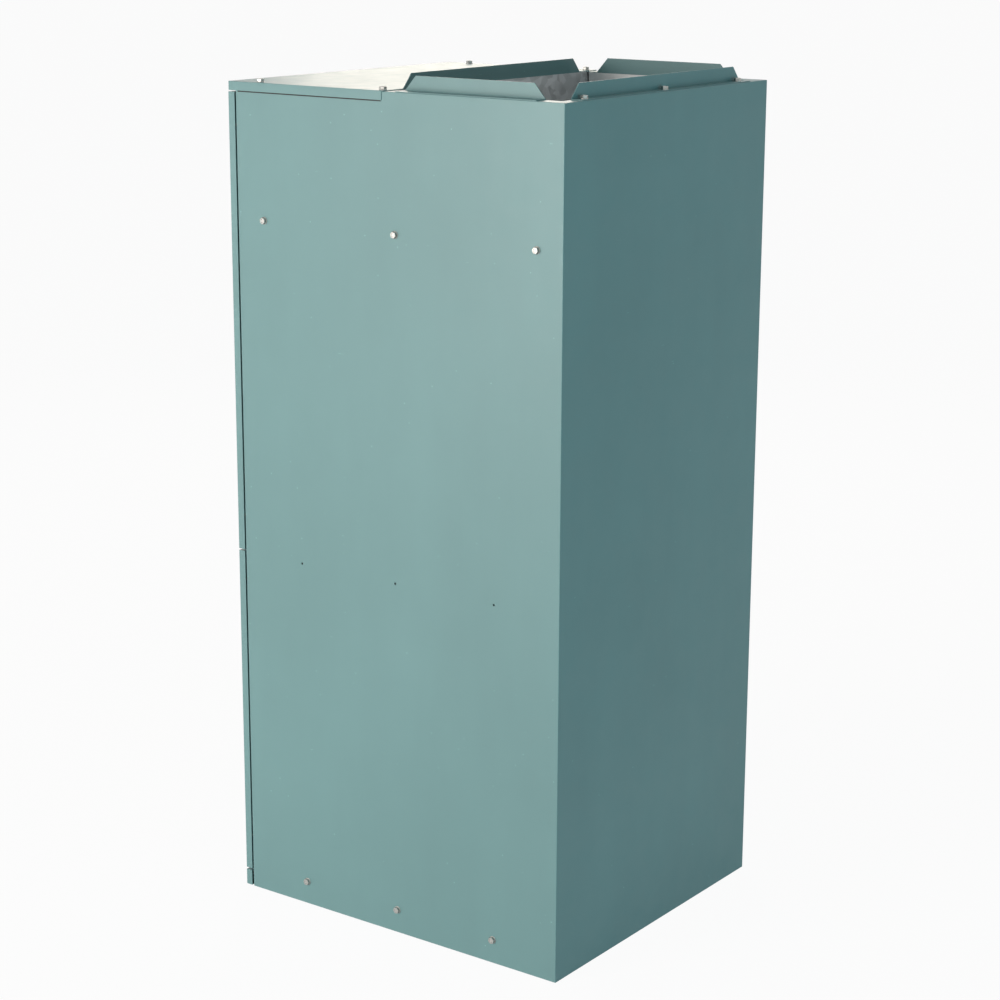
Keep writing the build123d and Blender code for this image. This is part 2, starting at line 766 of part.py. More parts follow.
# Blower deck: the scroll blows up through its cut-out
tray_y = y_part - tray_room
cable_y = tray_y - 4 * grommet_r
deck_hang_places = hang_places + [(-x, y) for x, y in hang_places]
outlet = (-scroll_half, scroll_half, wheel_y + cut_y, wheel_y + scroll_back)
blower_deck = shelf(deck_z, deck_drop, outlet)
with blower_deck:
    holes(side_on(x_side), [(y, deck_screw_z) for y in deck_row], screw_hole_r, cab_w)
    holes(floor_at(deck_z), deck_hang_places, screw_hole_r, inner_t)
    holes(floor_at(deck_z), [(cable_x, cable_y)], cable_r + hole_slack, inner_t)
keep(blower_deck, "blower_deck")

with BuildPart() as housing_screws:
    for x, y in deck_hang_places:
        screw(Plane(origin=(x, y, deck_z)))
keep(housing_screws, "housing_screws")

# Blower wheel: cupped blades between two end rings, carried by a disc in the middle
root_r = wheel_r - blade_depth
tip_r = wheel_r - ring_t / 2
rim_slack = wheel_r * (1 - math.cos(math.pi / wheel_sides))


def polar(radius, degrees):
    """A point of the wheel's plane."""
    turn = math.radians(degrees)
    return (radius * math.cos(turn), radius * math.sin(turn))


def blade_face(side):
    """One face of a blade, from root to tip: it leans forward and is cupped."""
    places = []
    for share in (0, 0.5, 1):
        radius = root_r + blade_t + share * (tip_r - rim_slack - root_r - blade_t)
        cup = 4 * share * (1 - share) * blade_sag - side * blade_t / 2
        places.append(polar(radius, blade_lean * share - math.degrees(cup / radius)))
    return places


with BuildSketch() as blade:
    with BuildLine():
        Polyline(*blade_face(1), *reversed(blade_face(-1)), close=True)
    make_face()

with BuildPart() as blower_wheel:
    with BuildSketch(wheel_plane(-wheel_w / 2)):
        with PolarLocations(0, blade_count):
            add(blade.sketch)
    extrude(amount=wheel_w)
    for x in (-wheel_w / 2, wheel_w / 2 - ring_t):
        with BuildSketch(wheel_plane(x)):
            RegularPolygon(wheel_r, wheel_sides)
            RegularPolygon(root_r, wheel_sides, mode=Mode.SUBTRACT)
        extrude(amount=ring_t)
    with BuildSketch(wheel_plane(-disc_t / 2)):
        RegularPolygon(wheel_r - blade_t, wheel_sides)
    extrude(amount=disc_t)
    with BuildSketch(wheel_plane(-hub_l)):
        RegularPolygon(hub_r, 12)
    extrude(amount=hub_l + disc_t + hub_l / 4)
    with BuildSketch(wheel_plane(-hub_l)):
        Circle(shaft_r + shaft_fit)
    extrude(amount=wheel_w / 2, mode=Mode.SUBTRACT)
keep(blower_wheel, "blower_wheel")

# Motor with chamfered end bells; the shaft runs in its bore
motor_x0 = disc_t / 2 + motor_gap
motor_x1 = motor_x0 + motor_l
bearing_l = motor_l * 0.8
with BuildPart() as motor_body:
    with BuildSketch(wheel_plane(motor_x0)):
        RegularPolygon(motor_r, motor_sides)
    extrude(amount=motor_l)
    chamfer(motor_body.faces().filter_by(Axis.X).edges(), length=bell_step)
    with BuildSketch(wheel_plane(motor_x0)):
        RegularPolygon(boss_r, 12)
    extrude(amount=-boss_l)
    with BuildSketch(wheel_plane(motor_x0 - boss_l)):
        Circle(shaft_r + shaft_fit)
    extrude(amount=boss_l + bearing_l, mode=Mode.SUBTRACT)
keep(motor_body, "motor_body")

with BuildPart() as motor_shaft:
    with BuildSketch(wheel_plane(-hub_l - boss_l)):
        Circle(shaft_r)
    extrude(amount=hub_l + boss_l + motor_x0 + bearing_l - 2 * shaft_fit)
keep(motor_shaft, "motor_shaft")

# Belly band with three arms out to the right side plate, on rubber grommets
arm_x = scroll_half + inner_t + grommet_l
with BuildPart() as motor_mount_band:
    with BuildSketch(wheel_plane(arm_x)):
        RegularPolygon(motor_r + fit_gap + 2 * inner_t, motor_sides)
        RegularPolygon(motor_r + fit_gap, motor_sides, mode=Mode.SUBTRACT)
    extrude(amount=band_w)
    with BuildSketch(wheel_plane(arm_x)):
        with PolarLocations(0, 3, start_angle=90):
            span(motor_r + inner_t, arm_end_r, -arm_w / 2, arm_w / 2)
        with PolarLocations(arm_bolt_r, 3, start_angle=90):
            RegularPolygon(bolt_r + 2 * fit_gap, 8, mode=Mode.SUBTRACT)
    extrude(amount=2 * inner_t)
keep(motor_mount_band, "motor_mount_band")

with BuildPart() as motor_grommets:
    with BuildSketch(wheel_plane(scroll_half + inner_t)):
        with PolarLocations(arm_bolt_r, 3, start_angle=90):
            RegularPolygon(grommet_r, 8)
            RegularPolygon(bolt_r + 2 * fit_gap, 8, mode=Mode.SUBTRACT)
    extrude(amount=grommet_l)
keep(motor_grommets, "motor_grommets")

with BuildPart() as motor_bolts:
    for turn in arm_angles:
        y, z = polar(arm_bolt_r, turn)
        with BuildSketch(wheel_plane(scroll_half - 2 * inner_t)):
            with Locations((y, z)):
                RegularPolygon(bolt_r, 8)
        extrude(amount=arm_x + 2 * inner_t - scroll_half + 2 * inner_t)
        with BuildSketch(wheel_plane(arm_x + 2 * inner_t)):
            with Locations((y, z)):
                RegularPolygon(hex_r + sheet, 6)
        extrude(amount=head_h)
keep(motor_bolts, "motor_bolts")

# Coil geometry: the right slab leans in towards the ridge
lean = math.radians(coil_lean)
lean_s, lean_c = math.sin(lean), math.cos(lean)
coil_y0 = y_front + coil_front_room
coil_y1 = y_rear - liner_t - coil_rear_room
coil_d = coil_y1 - coil_y0
rib_z = seat_z + pan_wall + pan_rib
slab_bx = ridge_gap / 2 + coil_t / 2 * lean_c + coil_l * lean_s
slab_bz = rib_z + rest_gap + coil_t / 2 * lean_s
slab_top = slab_bz + coil_l * lean_c + coil_t / 2 * lean_s


def slab_plane(y):
    """The plane across the right slab at y: local x up along the slab, y out of its face."""
    return Plane(
        origin=(slab_bx, y, slab_bz), x_dir=(-lean_s, 0, lean_c), z_dir=(0, 1, 0)
    )


def slab_point(along, out, y):
    """A point of the right slab, in the cabinet's frame."""
    return Vector(
        slab_bx - along * lean_s + out * lean_c, y, slab_bz + along * lean_c + out * lean_s
    )


with BuildPart() as coil_slab_right:
    with BuildSketch(slab_plane(coil_y0)):
        span(0, coil_l, -coil_t / 2, coil_t / 2)
    extrude(amount=coil_d)
keep(coil_slab_right, "coil_slab_right")

with BuildPart() as coil_slab_left:
    mirror(coil_slab_right.part, about=Plane.YZ)
keep(coil_slab_left, "coil_slab_left")

with BuildPart() as tube_sheets:
    for y in (coil_y0 - inner_t, coil_y1):
        with BuildSketch(slab_plane(y)):
            span(0, coil_l, -coil_t / 2 - slab_lip, coil_t / 2 + slab_lip)
        extrude(amount=inner_t)
    mirror(tube_sheets.part, about=Plane.YZ)
keep(tube_sheets, "tube_sheets")

# Return bends on the front tube sheets, in two staggered rows, each of five mitred runs
first_tube = (coil_l - (tube_count - 1) * tube_pitch) / 2
bend_y = coil_y0 - inner_t
with BuildPart() as return_bends:
    for i in range(1, tube_count - 2, 2):
        row = tube_row if i % 4 == 1 else -tube_row
        middle = first_tube + (i + 0.5) * tube_pitch
        bend_path = [(-0.5, 0), (-0.5, 0.29), (-0.21, 0.58), (0.21, 0.58), (0.5, 0.29), (0.5, 0)]
        with BuildLine() as elbow:
            Polyline(
                *[
                    slab_point(middle + a * tube_pitch, row, bend_y - b * tube_pitch)
                    for a, b in bend_path
                ]
            )
        with BuildSketch(slab_plane(bend_y)) as tube_end:
            with Locations((middle - tube_pitch / 2, row)):
                RegularPolygon(tube_r, 6)
        sweep(tube_end.sketch, path=elbow.line, transition=Transition.RIGHT)
    mirror(return_bends.part, about=Plane.YZ)
keep(return_bends, "return_bends")

# Ridge cap over the two slabs, between the tube sheets
cap_z = slab_top + rest_gap
cap_x = slab_point(coil_l, coil_t / 2, 0).X
cap_flare = cap_lip * lean_s / lean_c
with BuildPart() as coil_ridge_cap:
    with BuildSketch(upright(coil_y0 + fit_gap)):
        with BuildLine():
            Polyline(
                (-cap_x - sheet - cap_flare, cap_z - cap_lip),
                (-cap_x - sheet, cap_z),
                (cap_x + sheet, cap_z),
                (cap_x + sheet + cap_flare, cap_z - cap_lip),
                (cap_x + sheet + cap_flare + inner_t, cap_z - cap_lip),
                (cap_x + sheet + inner_t, cap_z + inner_t),
                (-cap_x - sheet - inner_t, cap_z + inner_t),
                (-cap_x - sheet - cap_flare - inner_t, cap_z - cap_lip),
                close=True,
            )
        make_face()
    extrude(amount=-(coil_d - 2 * fit_gap))
keep(coil_ridge_cap, "coil_ridge_cap")

# Triangular baffles between the slabs at both ends
wall_top = seat_z + inner_wall_h
baffle_z0 = wall_top + rest_gap
baffle_out = -coil_t / 2 - slab_lip - fit_gap


def baffle_x(z):
    """Half width of the space between the tube sheets at height z."""
    start = slab_point(0, baffle_out, 0)
    return start.X - (z - start.Z) * lean_s / lean_c


baffle_z1 = slab_point(coil_l, baffle_out, 0).Z - slab_lip
with BuildPart() as end_baffles:
    for y in (coil_y0 - inner_t, coil_y1):
        with BuildSketch(upright(y)):
            with BuildLine():
                Polyline(
                    (-baffle_x(baffle_z0), baffle_z0),
                    (baffle_x(baffle_z0), baffle_z0),
                    (max(baffle_x(baffle_z1), sheet), baffle_z1),
                    (-max(baffle_x(baffle_z1), sheet), baffle_z1),
                    close=True,
                )
            make_face()
        extrude(amount=-inner_t)
keep(end_baffles, "end_baffles")

# Drain pan: troughs round a raised opening, ribs that carry the slabs, and drain sockets
# that reach out through the lower panel
pan_x = x_in - pan_gap
pan_y0 = y_flange + pan_gap
pan_y1 = y_rear - pan_gap
trough_x = slab_point(0, -coil_t / 2, 0).X - trough_in
wall_y0 = coil_y0 - inner_t - pan_wall / 2
wall_y1 = coil_y1 + inner_t + pan_wall / 2
pan_floor = seat_z + pan_wall
port_tip = y_front - port_reach
with BuildPart() as drain_pan:
    with BuildSketch(floor_at(seat_z)):
        span(-pan_x, pan_x, pan_y0, pan_y1)
        chamfer(vertices(), length=pan_wall)
    extrude(amount=pan_h)
    with BuildSketch(floor_at(pan_floor)):
        span(-pan_x + pan_wall, pan_x - pan_wall, pan_y0 + pan_wall, pan_y1 - pan_wall)
        chamfer(vertices(), length=pan_wall / 2)
        span(-trough_x, trough_x, wall_y0, wall_y1, mode=Mode.SUBTRACT)
    extrude(amount=pan_h, mode=Mode.SUBTRACT)
    with BuildSketch(floor_at(wall_top)):
        span(-trough_x, trough_x, wall_y0, wall_y1)
    extrude(amount=pan_h, mode=Mode.SUBTRACT)
    with BuildSketch(floor_at(seat_z)):
        span(
            -trough_x + pan_wall, trough_x - pan_wall, wall_y0 + pan_wall, wall_y1 - pan_wall
        )
    extrude(amount=pan_h, mode=Mode.SUBTRACT)
    with BuildSketch(floor_at(pan_floor)):
        for i in (1, 3, 5):
            y = coil_y0 + i * coil_d / 6
            for side in (-1, 1):
                xs = sorted((side * trough_x, side * (pan_x - pan_wall)))
                span(*xs, y - pan_rib_w / 2, y + pan_rib_w / 2)
    extrude(amount=pan_rib)
    with BuildSketch(upright(port_tip)):
        with Locations(*port_places):
            RegularPolygon(port_r, 16)
    extrude(amount=-(pan_y0 + pan_wall / 2 - port_tip))
    holes(upright(port_tip), port_places, port_bore_r, port_bore_l, 0)
    holes(upright(port_tip), port_places, drain_hole_r, pan_y0 + 2 * pan_wall - port_tip, 12)
keep(drain_pan, "drain_pan")


# Refrigerant lines: each one ends in front of the panel in a swaged cup for the field line
def line_end(place, radius, cup_r, cup_l):
    """Add the straight end of a line out through the panel, with its swaged cup."""
    x, z = place
    tip = y_front - stub_reach
    seat = Plane(origin=(x, tip, z), z_dir=(0, -1, 0))
    with BuildSketch(seat) as tube:
        RegularPolygon(radius, 12)
    extrude(tube.sketch, amount=-(stub_root - tip))
    with BuildSketch(seat) as swage:
        RegularPolygon(cup_r + pipe_wall, 12)
    extrude(swage.sketch, amount=-cup_l - pipe_wall)
    holes(seat, [(0, 0)], cup_r, cup_l, 0)
    holes(seat, [(0, 0)], radius - pipe_wall, stub_root - pipe_wall - tip, 12)


stub_root = y_flange + panel_return
line_y = y_front + header_y

top_tube = slab_point(first_tube + (tube_count - 1) * tube_pitch, 0, bend_y)
low_tube = slab_point(first_tube, 0, bend_y)
with BuildPart() as suction_header:
    pipe(
        [
            (0, line_y, top_tube.Z + 2 * suction_r),
            (0, line_y, suction_z),
            (line_x, line_y, suction_z),
            (line_x, stub_root, suction_z),
        ],
        suction_r,
        1.6 * suction_r,
        8,
    )
    line_end(suction_place, suction_r, suction_cup_r, suction_cup_l)
    for side in (-1, 1):
        pipe(
            [
                (0, line_y, top_tube.Z),
                (side * top_tube.X, line_y, top_tube.Z),
                (side * top_tube.X, bend_y, top_tube.Z),
            ],
            tube_r,
            2.5 * tube_r,
            6,
        )
keep(suction_header, "suction_header")

# Metering valve and distributor, fed by the liquid line
valve_top = liquid_z - 3 * liquid_r
valve_z = valve_top - valve_h
with BuildPart() as liquid_line:
    pipe(
        [
            (line_x, stub_root, liquid_z),
            (line_x, line_y, liquid_z),
            (valve_x, line_y, liquid_z),
            (valve_x, line_y, valve_top),
        ],
        liquid_r,
        2.4 * liquid_r,
        8,
    )
    line_end(liquid_place, liquid_r, liquid_cup_r, liquid_cup_l)
keep(liquid_line, "liquid_line")

with BuildPart() as distributor:
    with BuildSketch(Plane(origin=(valve_x, line_y, valve_top))):
        RegularPolygon(valve_r * 0.8, 6)
    extrude(amount=-valve_nut_h)
    with BuildSketch(Plane(origin=(valve_x, line_y, valve_top - valve_nut_h))):
        RegularPolygon(valve_r, 6)
    extrude(amount=-valve_nut_h)
    with BuildSketch(Plane(origin=(valve_x, line_y, valve_z))):
        RegularPolygon(valve_r, 12)
    extrude(amount=valve_h - 2 * valve_nut_h)
    chamfer(distributor.faces().sort_by(Axis.Z)[0].edges(), length=valve_r * 0.25)
keep(distributor, "distributor")

with BuildPart() as feeder_tubes:
    for side in (-1, 1):
        root_x = valve_x + side * valve_r / 2
        pipe(
            [
                (root_x, line_y, valve_z),
                (root_x, line_y, valve_z - 4 * feeder_r),
                (side * low_tube.X, line_y, low_tube.Z),
                (side * low_tube.X, bend_y, low_tube.Z),
            ],
            feeder_r,
            3 * feeder_r,
            6,
        )
keep(feeder_tubes, "feeder_tubes")

# Control tray in the compartment before the plenum, with what it carries
with BuildPart() as control_tray:
    with BuildSketch(side_on(tray_left)):
        span(tray_y, tray_y + inner_t, deck_z, deck_z + tray_h)
        span(tray_y, tray_y + foot_w, deck_z, deck_z + inner_t)
        span(tray_y, tray_y + foot_w / 2, deck_z + tray_h - inner_t, deck_z + tray_h)
    extrude(amount=tray_right - tray_left)
keep(control_tray, "control_tray")


def on_tray(x, z, w, h, depth, lift=0.0):
    """Add a box that stands on the tray's front face, with its corner at x, z."""
    with BuildSketch(upright(tray_y - lift)) as outline:
        span(x, x + w, deck_z + z, deck_z + z + h)
    extrude(outline.sketch, amount=depth)


# Transformer: a wound coil in its stack of plates, with a fixing strap
core_w, core_h, core_d = 66.0, 56.0, 34.0
coil_w, coil_h, coil_depth = 38.0, 76.0, 27.0
strap_w, strap_h, strap_t = 82.0, 12.0, 2.0
transformer_in = 22.0  # from the tray's left end
transformer_up = 24.0
transformer_x = tray_left + transformer_in
with BuildPart() as transformer:
    core_mid = transformer_x + core_w / 2
    core_up = transformer_up + core_h / 2
    on_tray(transformer_x, transformer_up, core_w, core_h, core_d)
    on_tray(core_mid - coil_w / 2, core_up - coil_h / 2, coil_w, coil_h, coil_depth)
    on_tray(core_mid - strap_w / 2, core_up - strap_h / 2, strap_w, strap_h, strap_t)
keep(transformer, "transformer")

# Relay board on four standoffs
board_gap = 34.0  # from the transformer
board_w, board_h, board_t = 120.0, 92.0, 1.6
board_z = 18.0
standoff = 6.0
standoff_in = 6.0
board_x = transformer_x + core_w + board_gap
with BuildPart() as relay_board:
    on_tray(board_x, board_z, board_w, board_h, board_t, standoff)
    for x in (board_x + standoff_in, board_x + board_w - standoff_in - standoff):
        for z in (board_z + standoff_in, board_z + board_h - standoff_in - standoff):
            on_tray(x, z, standoff, standoff, standoff)
keep(relay_board, "relay_board")

# Two relays, a row of terminals, a time module and the deep plug of the motor cable
relay_w, relay_h, relay_d = 28.0, 30.0, 20.0
terminal_w, terminal_d, terminal_pitch = 12.0, 14.0, 15.0
module_w, module_h, module_d = 26.0, 40.0, 9.0
parts_in = 8.0
plug_x = board_x + parts_in + 6 * terminal_pitch
plug_z = board_z + standoff
with BuildPart() as board_components:
    face = standoff + board_t
    for i in (0, 1):
        x = board_x + parts_in + i * (relay_w + standoff)
        on_tray(x, board_z + board_h - parts_in - relay_h, relay_w, relay_h, relay_d, face)
    for i in range(6):
        x = board_x + parts_in + i * terminal_pitch
        on_tray(x, plug_z, terminal_w, terminal_w, terminal_d, face)
    module_x = board_x + board_w - parts_in - module_w
    on_tray(module_x, board_z + board_h - parts_in - module_h, module_w, module_h, module_d, face)
    plug_d = tray_y - cable_y + cable_r + sheet - face
    on_tray(plug_x, plug_z, terminal_w, terminal_w, plug_d, face)
keep(board_components, "board_components")

# Oval run capacitor with two tabs, held by a strap
capacitor_gap = 42.0  # from the board to the can's middle
capacitor_x = board_x + board_w + capacitor_gap
cap_r = 16.0
cap_l = 20.0
can_h = 74.0
can_z = deck_z + board_z
can_plane = Plane(origin=(capacitor_x, tray_y - cap_r - fit_gap, can_z))
can_chamfer = 9.0


def oval(grow=0.0, mode=Mode.ADD):
    """The can's outline, grown all round."""
    half_l, half_w = cap_l / 2 + cap_r + grow, cap_r + grow
    cut = can_chamfer + grow / 2
    Polygon(
        (-half_l, -half_w + cut),
        (-half_l + cut, -half_w),
        (half_l - cut, -half_w),
        (half_l, -half_w + cut),
        (half_l, half_w - cut),
        (half_l - cut, half_w),
        (-half_l + cut, half_w),
        (-half_l, half_w - cut),
        align=None,
        mode=mode,
    )


with BuildPart() as run_capacitor:
    with BuildSketch(can_plane):
        oval()
    extrude(amount=can_h)
    with BuildSketch(can_plane.offset(can_h)):
        oval(-2)
    extrude(amount=2)
    with BuildSketch(can_plane.offset(can_h + 2)):
        with Locations((-cap_l / 2, 0), (cap_l / 2, 0)):
            Rectangle(6.3, 0.8)
    extrude(amount=9)
keep(run_capacitor, "run_capacitor")

with BuildPart() as capacitor_strap:
    with BuildSketch(can_plane.offset(can_h * 0.45)):
        oval(fit_gap + sheet)
        oval(fit_gap, mode=Mode.SUBTRACT)
        span(-cap_l, cap_l, cap_r + fit_gap, 2 * cap_r, mode=Mode.SUBTRACT)
    extrude(amount=14)
keep(capacitor_strap, "capacitor_strap")

# Motor cable: up through the deck, then in a slack run to its plug on the relay board
cable_start = wheel_z - motor_r / 2
cable_top = deck_z + plug_z + terminal_w / 2
cable_end = plug_x + terminal_w
cable_span = cable_x - cable_end
cable_slack = 8.0
with BuildPart() as motor_cable:
    cable_places = [
        (motor_x1, wheel_y, cable_start),
        (cable_x, wheel_y, cable_start),
        (cable_x, wheel_y - motor_r, cable_start + motor_r),
        (cable_x, cable_y + cable_slack, deck_z - motor_r - deck_drop),
        (cable_x, cable_y, deck_z - deck_drop),
        (cable_x, cable_y, cable_top),
        (cable_x - cable_span / 4, cable_y, cable_top - cable_slack * 0.6),
        (cable_x - cable_span / 2, cable_y, cable_top - cable_slack),
        (cable_end + cable_span / 4, cable_y, cable_top - cable_slack * 0.6),
        (cable_end + 4 * cable_r, cable_y, cable_top),
        (cable_end, cable_y, cable_top),
    ]
    pipe(cable_places, cable_r, 12, 6)
keep(motor_cable, "motor_cable")
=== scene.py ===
"""Looks of the vertical ducted air conditioner: finishes, fine pieces, camera and light."""

from __future__ import annotations

import json
import logging
import math
from dataclasses import dataclass
from enum import Enum
from typing import Any, Iterable, Sequence, Union

import bmesh
import bpy
from mathutils import Matrix, Vector

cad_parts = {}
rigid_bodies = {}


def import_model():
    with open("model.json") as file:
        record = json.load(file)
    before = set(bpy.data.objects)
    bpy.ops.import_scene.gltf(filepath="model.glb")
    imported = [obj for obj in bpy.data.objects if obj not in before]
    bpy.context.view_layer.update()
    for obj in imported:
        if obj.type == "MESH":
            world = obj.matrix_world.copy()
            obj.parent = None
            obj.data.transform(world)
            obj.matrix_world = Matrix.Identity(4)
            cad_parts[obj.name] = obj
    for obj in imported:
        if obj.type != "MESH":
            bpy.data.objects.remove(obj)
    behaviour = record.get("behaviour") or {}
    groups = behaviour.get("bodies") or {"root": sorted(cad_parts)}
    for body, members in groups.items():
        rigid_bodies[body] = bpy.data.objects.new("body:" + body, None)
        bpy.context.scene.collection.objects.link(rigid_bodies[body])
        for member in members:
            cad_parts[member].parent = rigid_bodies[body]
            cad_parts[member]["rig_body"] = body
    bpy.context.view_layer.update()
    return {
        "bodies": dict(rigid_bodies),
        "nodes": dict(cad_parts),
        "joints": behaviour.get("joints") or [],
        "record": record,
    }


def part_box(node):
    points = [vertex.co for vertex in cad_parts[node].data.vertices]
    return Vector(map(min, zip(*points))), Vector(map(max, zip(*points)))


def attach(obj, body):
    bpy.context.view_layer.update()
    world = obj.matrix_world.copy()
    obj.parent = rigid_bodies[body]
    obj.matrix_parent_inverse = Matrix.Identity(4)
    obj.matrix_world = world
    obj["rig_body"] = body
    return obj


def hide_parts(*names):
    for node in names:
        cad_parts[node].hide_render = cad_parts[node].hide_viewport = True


log = logging.getLogger("air_handler")

Colour = tuple[float, float, float]
Place = tuple[float, float, float]
Pair = tuple[float, float]
Number = Union[float, "Signal"]


def srgb(red: int, green: int, blue: int) -> Colour:
    """Turn an 8-bit display colour into the linear colour that the shader takes.

    Args:
        red: The red channel, 0 to 255.
        green: The green channel.
        blue: The blue channel.

    Returns:
        The three linear channels, 0 to 1.
    """

    def linear(value: float) -> float:
        """Undo the display curve for one channel."""
        return value / 12.92 if value <= 0.04045 else ((value + 0.055) / 1.055) ** 2.4

    return (linear(red / 255), linear(green / 255), linear(blue / 255))


class Signal:
    """A number that varies over a surface: an output socket with arithmetic."""

    def __init__(self, recipe: "Recipe", socket: bpy.types.NodeSocket) -> None:
        """Keep the socket and the recipe that new nodes go into."""
        self.recipe = recipe
        self.socket = socket

    def _math(self, operation: str, *values: Any) -> "Signal":
        """Add a Math node on these values.

        Args:
            operation: The Math node's operation.
            values: Numbers or signals, in the node's order.

        Returns:
            The node's result.
        """
        settings = {"operation": operation}
        node = self.recipe.node("ShaderNodeMath", settings, dict(enumerate(values)))
        return Signal(self.recipe, node.outputs[0])

    def __add__(self, other: Number) -> "Signal":
        """self + other."""
        return self._math("ADD", self, other)

    __radd__ = __add__

    def __sub__(self, other: Number) -> "Signal":
        """self - other."""
        return self._math("SUBTRACT", self, other)

    def __rsub__(self, other: Number) -> "Signal":
        """other - self."""
        return self._math("SUBTRACT", other, self)

    def __mul__(self, other: Number) -> "Signal":
        """self * other."""
        return self._math("MULTIPLY", self, other)

    __rmul__ = __mul__

    def __truediv__(self, other: Number) -> "Signal":
        """self / other."""
        return self._math("DIVIDE", self, other)

    def __mod__(self, other: Number) -> "Signal":
        """self % other, never negative."""
        return self._math("FLOORED_MODULO", self, other)

    def __abs__(self) -> "Signal":
        """The distance from zero."""
        return self._math("ABSOLUTE", self)

    def over(self, edge: Number, soft: float) -> "Signal":
        """A soft step from 0 below the edge to 1 above it."""
        return self.recipe.clamped((self - edge) / soft + 0.5)

    def under(self, edge: Number, soft: float) -> "Signal":
        """A soft step from 1 below the edge to 0 above it."""
        return 1 - self.over(edge, soft)


class Recipe:
    """The node tree of one material, with short ways to add its nodes."""

    def __init__(self, name: str) -> None:
        """Start an empty material of this name."""
        self.material = bpy.data.materials.new(name)
        self.material.use_nodes = True
        self.tree = self.material.node_tree
        self.tree.nodes.clear()
        self._place: bpy.types.NodeSocket | None = None

    def node(
        self, kind: str, settings: dict[str, Any] | None = None, values: dict | None = None
    ) -> bpy.types.Node:
        """Add a node.

        Args:
            kind: The node's type.
            settings: Its properties, or the stops of a ramp, which are set first.
            values: Numbers, colours, signals or sockets for its inputs.

        Returns:
            The new node.
        """
        node = self.tree.nodes.new(kind)
        for name, value in (settings or {}).items():
            if name == "stops":
                ramp = node.color_ramp
                while len(ramp.elements) < len(value):
                    ramp.elements.new(0.5)
                for element, (place, colour) in zip(ramp.elements, value):
                    element.position = place
                    element.color = (*colour, 1.0)
            else:
                setattr(node, name, value)
        for key, value in (values or {}).items():
            socket = node.inputs[key]
            if isinstance(value, Signal):
                self.tree.links.new(value.socket, socket)
            elif isinstance(value, bpy.types.NodeSocket):
                self.tree.links.new(value, socket)
            elif socket.type == "RGBA" and len(value) == 3:
                socket.default_value = (*value, 1.0)
            else:
                socket.default_value = value
        return node

    @property
    def place(self) -> bpy.types.NodeSocket:
        """The point of the surface in the part's own frame, in metres."""
        if self._place is None:
            self._place = self.node("ShaderNodeTexCoord").outputs["Object"]
        return self._place

    def clamped(self, value: Signal) -> Signal:
        """Hold a signal to 0..1."""
        node = self.node("ShaderNodeClamp", {}, {"Value": value})
        return Signal(self, node.outputs[0])

    def axes(self) -> tuple[Signal, Signal, Signal]:
        """The point's x, y and z as signals."""
        node = self.node("ShaderNodeSeparateXYZ", {}, {0: self.place})
        return tuple(Signal(self, out) for out in node.outputs)

    def stretched(self, x: float, y: float, z: float) -> bpy.types.NodeSocket:
        """Scale each axis of the point, for grain that runs one way.

        Args:
            x: The factor along x.
            y: The factor along y.
            z: The factor along z.

        Returns:
            The scaled point.
        """
        settings = {"operation": "MULTIPLY"}
        node = self.node("ShaderNodeVectorMath", settings, {0: self.place, 1: (x, y, z)})
        return node.outputs["Vector"]

    def noise(
        self,
        scale: float,
        detail: float = 2.0,
        rough: float = 0.5,
        place: bpy.types.NodeSocket | None = None,
    ) -> Signal:
        """Add soft noise.

        Args:
            scale: Its cells a metre.
            detail: How many finer layers it has.
            rough: How strong the finer layers are.
            place: The point that it is read at, or None for the surface's own.

        Returns:
            The noise, from 0 to 1.
        """
        node = self.node(
            "ShaderNodeTexNoise",
            {"noise_dimensions": "3D"},
            {"Vector": place or self.place, "Scale": scale, "Detail": detail, "Roughness": rough},
        )
        return Signal(self, node.outputs[0])

    def cells(self, scale: float, output: str = "Distance") -> Signal:
        """Add random cells.

        Args:
            scale: How many there are in a metre.
            output: "Distance" for the distance to a cell's middle, "Color" for its own grey.

        Returns:
            The distance or the grey.
        """
        node = self.node("ShaderNodeTexVoronoi", {}, {"Vector": self.place, "Scale": scale})
        if output == "Distance":
            return Signal(self, node.outputs["Distance"])
        grey = self.node("ShaderNodeSeparateColor", {}, {0: node.outputs["Color"]})
        return Signal(self, grey.outputs[0])

    def mix(self, share: Number, first: Any, second: Any) -> bpy.types.NodeSocket:
        """Mix two colours by a share from 0 to 1."""
        node = self.node(
            "ShaderNodeMix", {"data_type": "RGBA"}, {"Factor": share, 6: first, 7: second}
        )
        return node.outputs[2]

    def bump(self, height: Signal, depth: float, strength: float = 1.0) -> bpy.types.NodeSocket:
        """A normal bent by a height from 0 to 1, of this depth in metres."""
        node = self.node(
            "ShaderNodeBump", {}, {"Strength": strength, "Distance": depth, "Height": height}
        )
        return node.outputs["Normal"]

    def finish(self, **inputs: Any) -> bpy.types.Material:
        """Close the material with a Principled shader.

        Args:
            inputs: The shader's inputs, with underscores for the spaces in their names.

        Returns:
            The finished material.
        """
        values = {name.replace("_", " "): value for name, value in inputs.items()}
        shader = self.node("ShaderNodeBsdfPrincipled", {}, values)
        self.node("ShaderNodeOutputMaterial", {}, {"Surface": shader.outputs[0]})
        return self.material


def tint(colour: Colour, factor: float) -> Colour:
    """A colour made darker or lighter by a factor."""
    return tuple(min(1.0, channel * factor) for channel in colour)


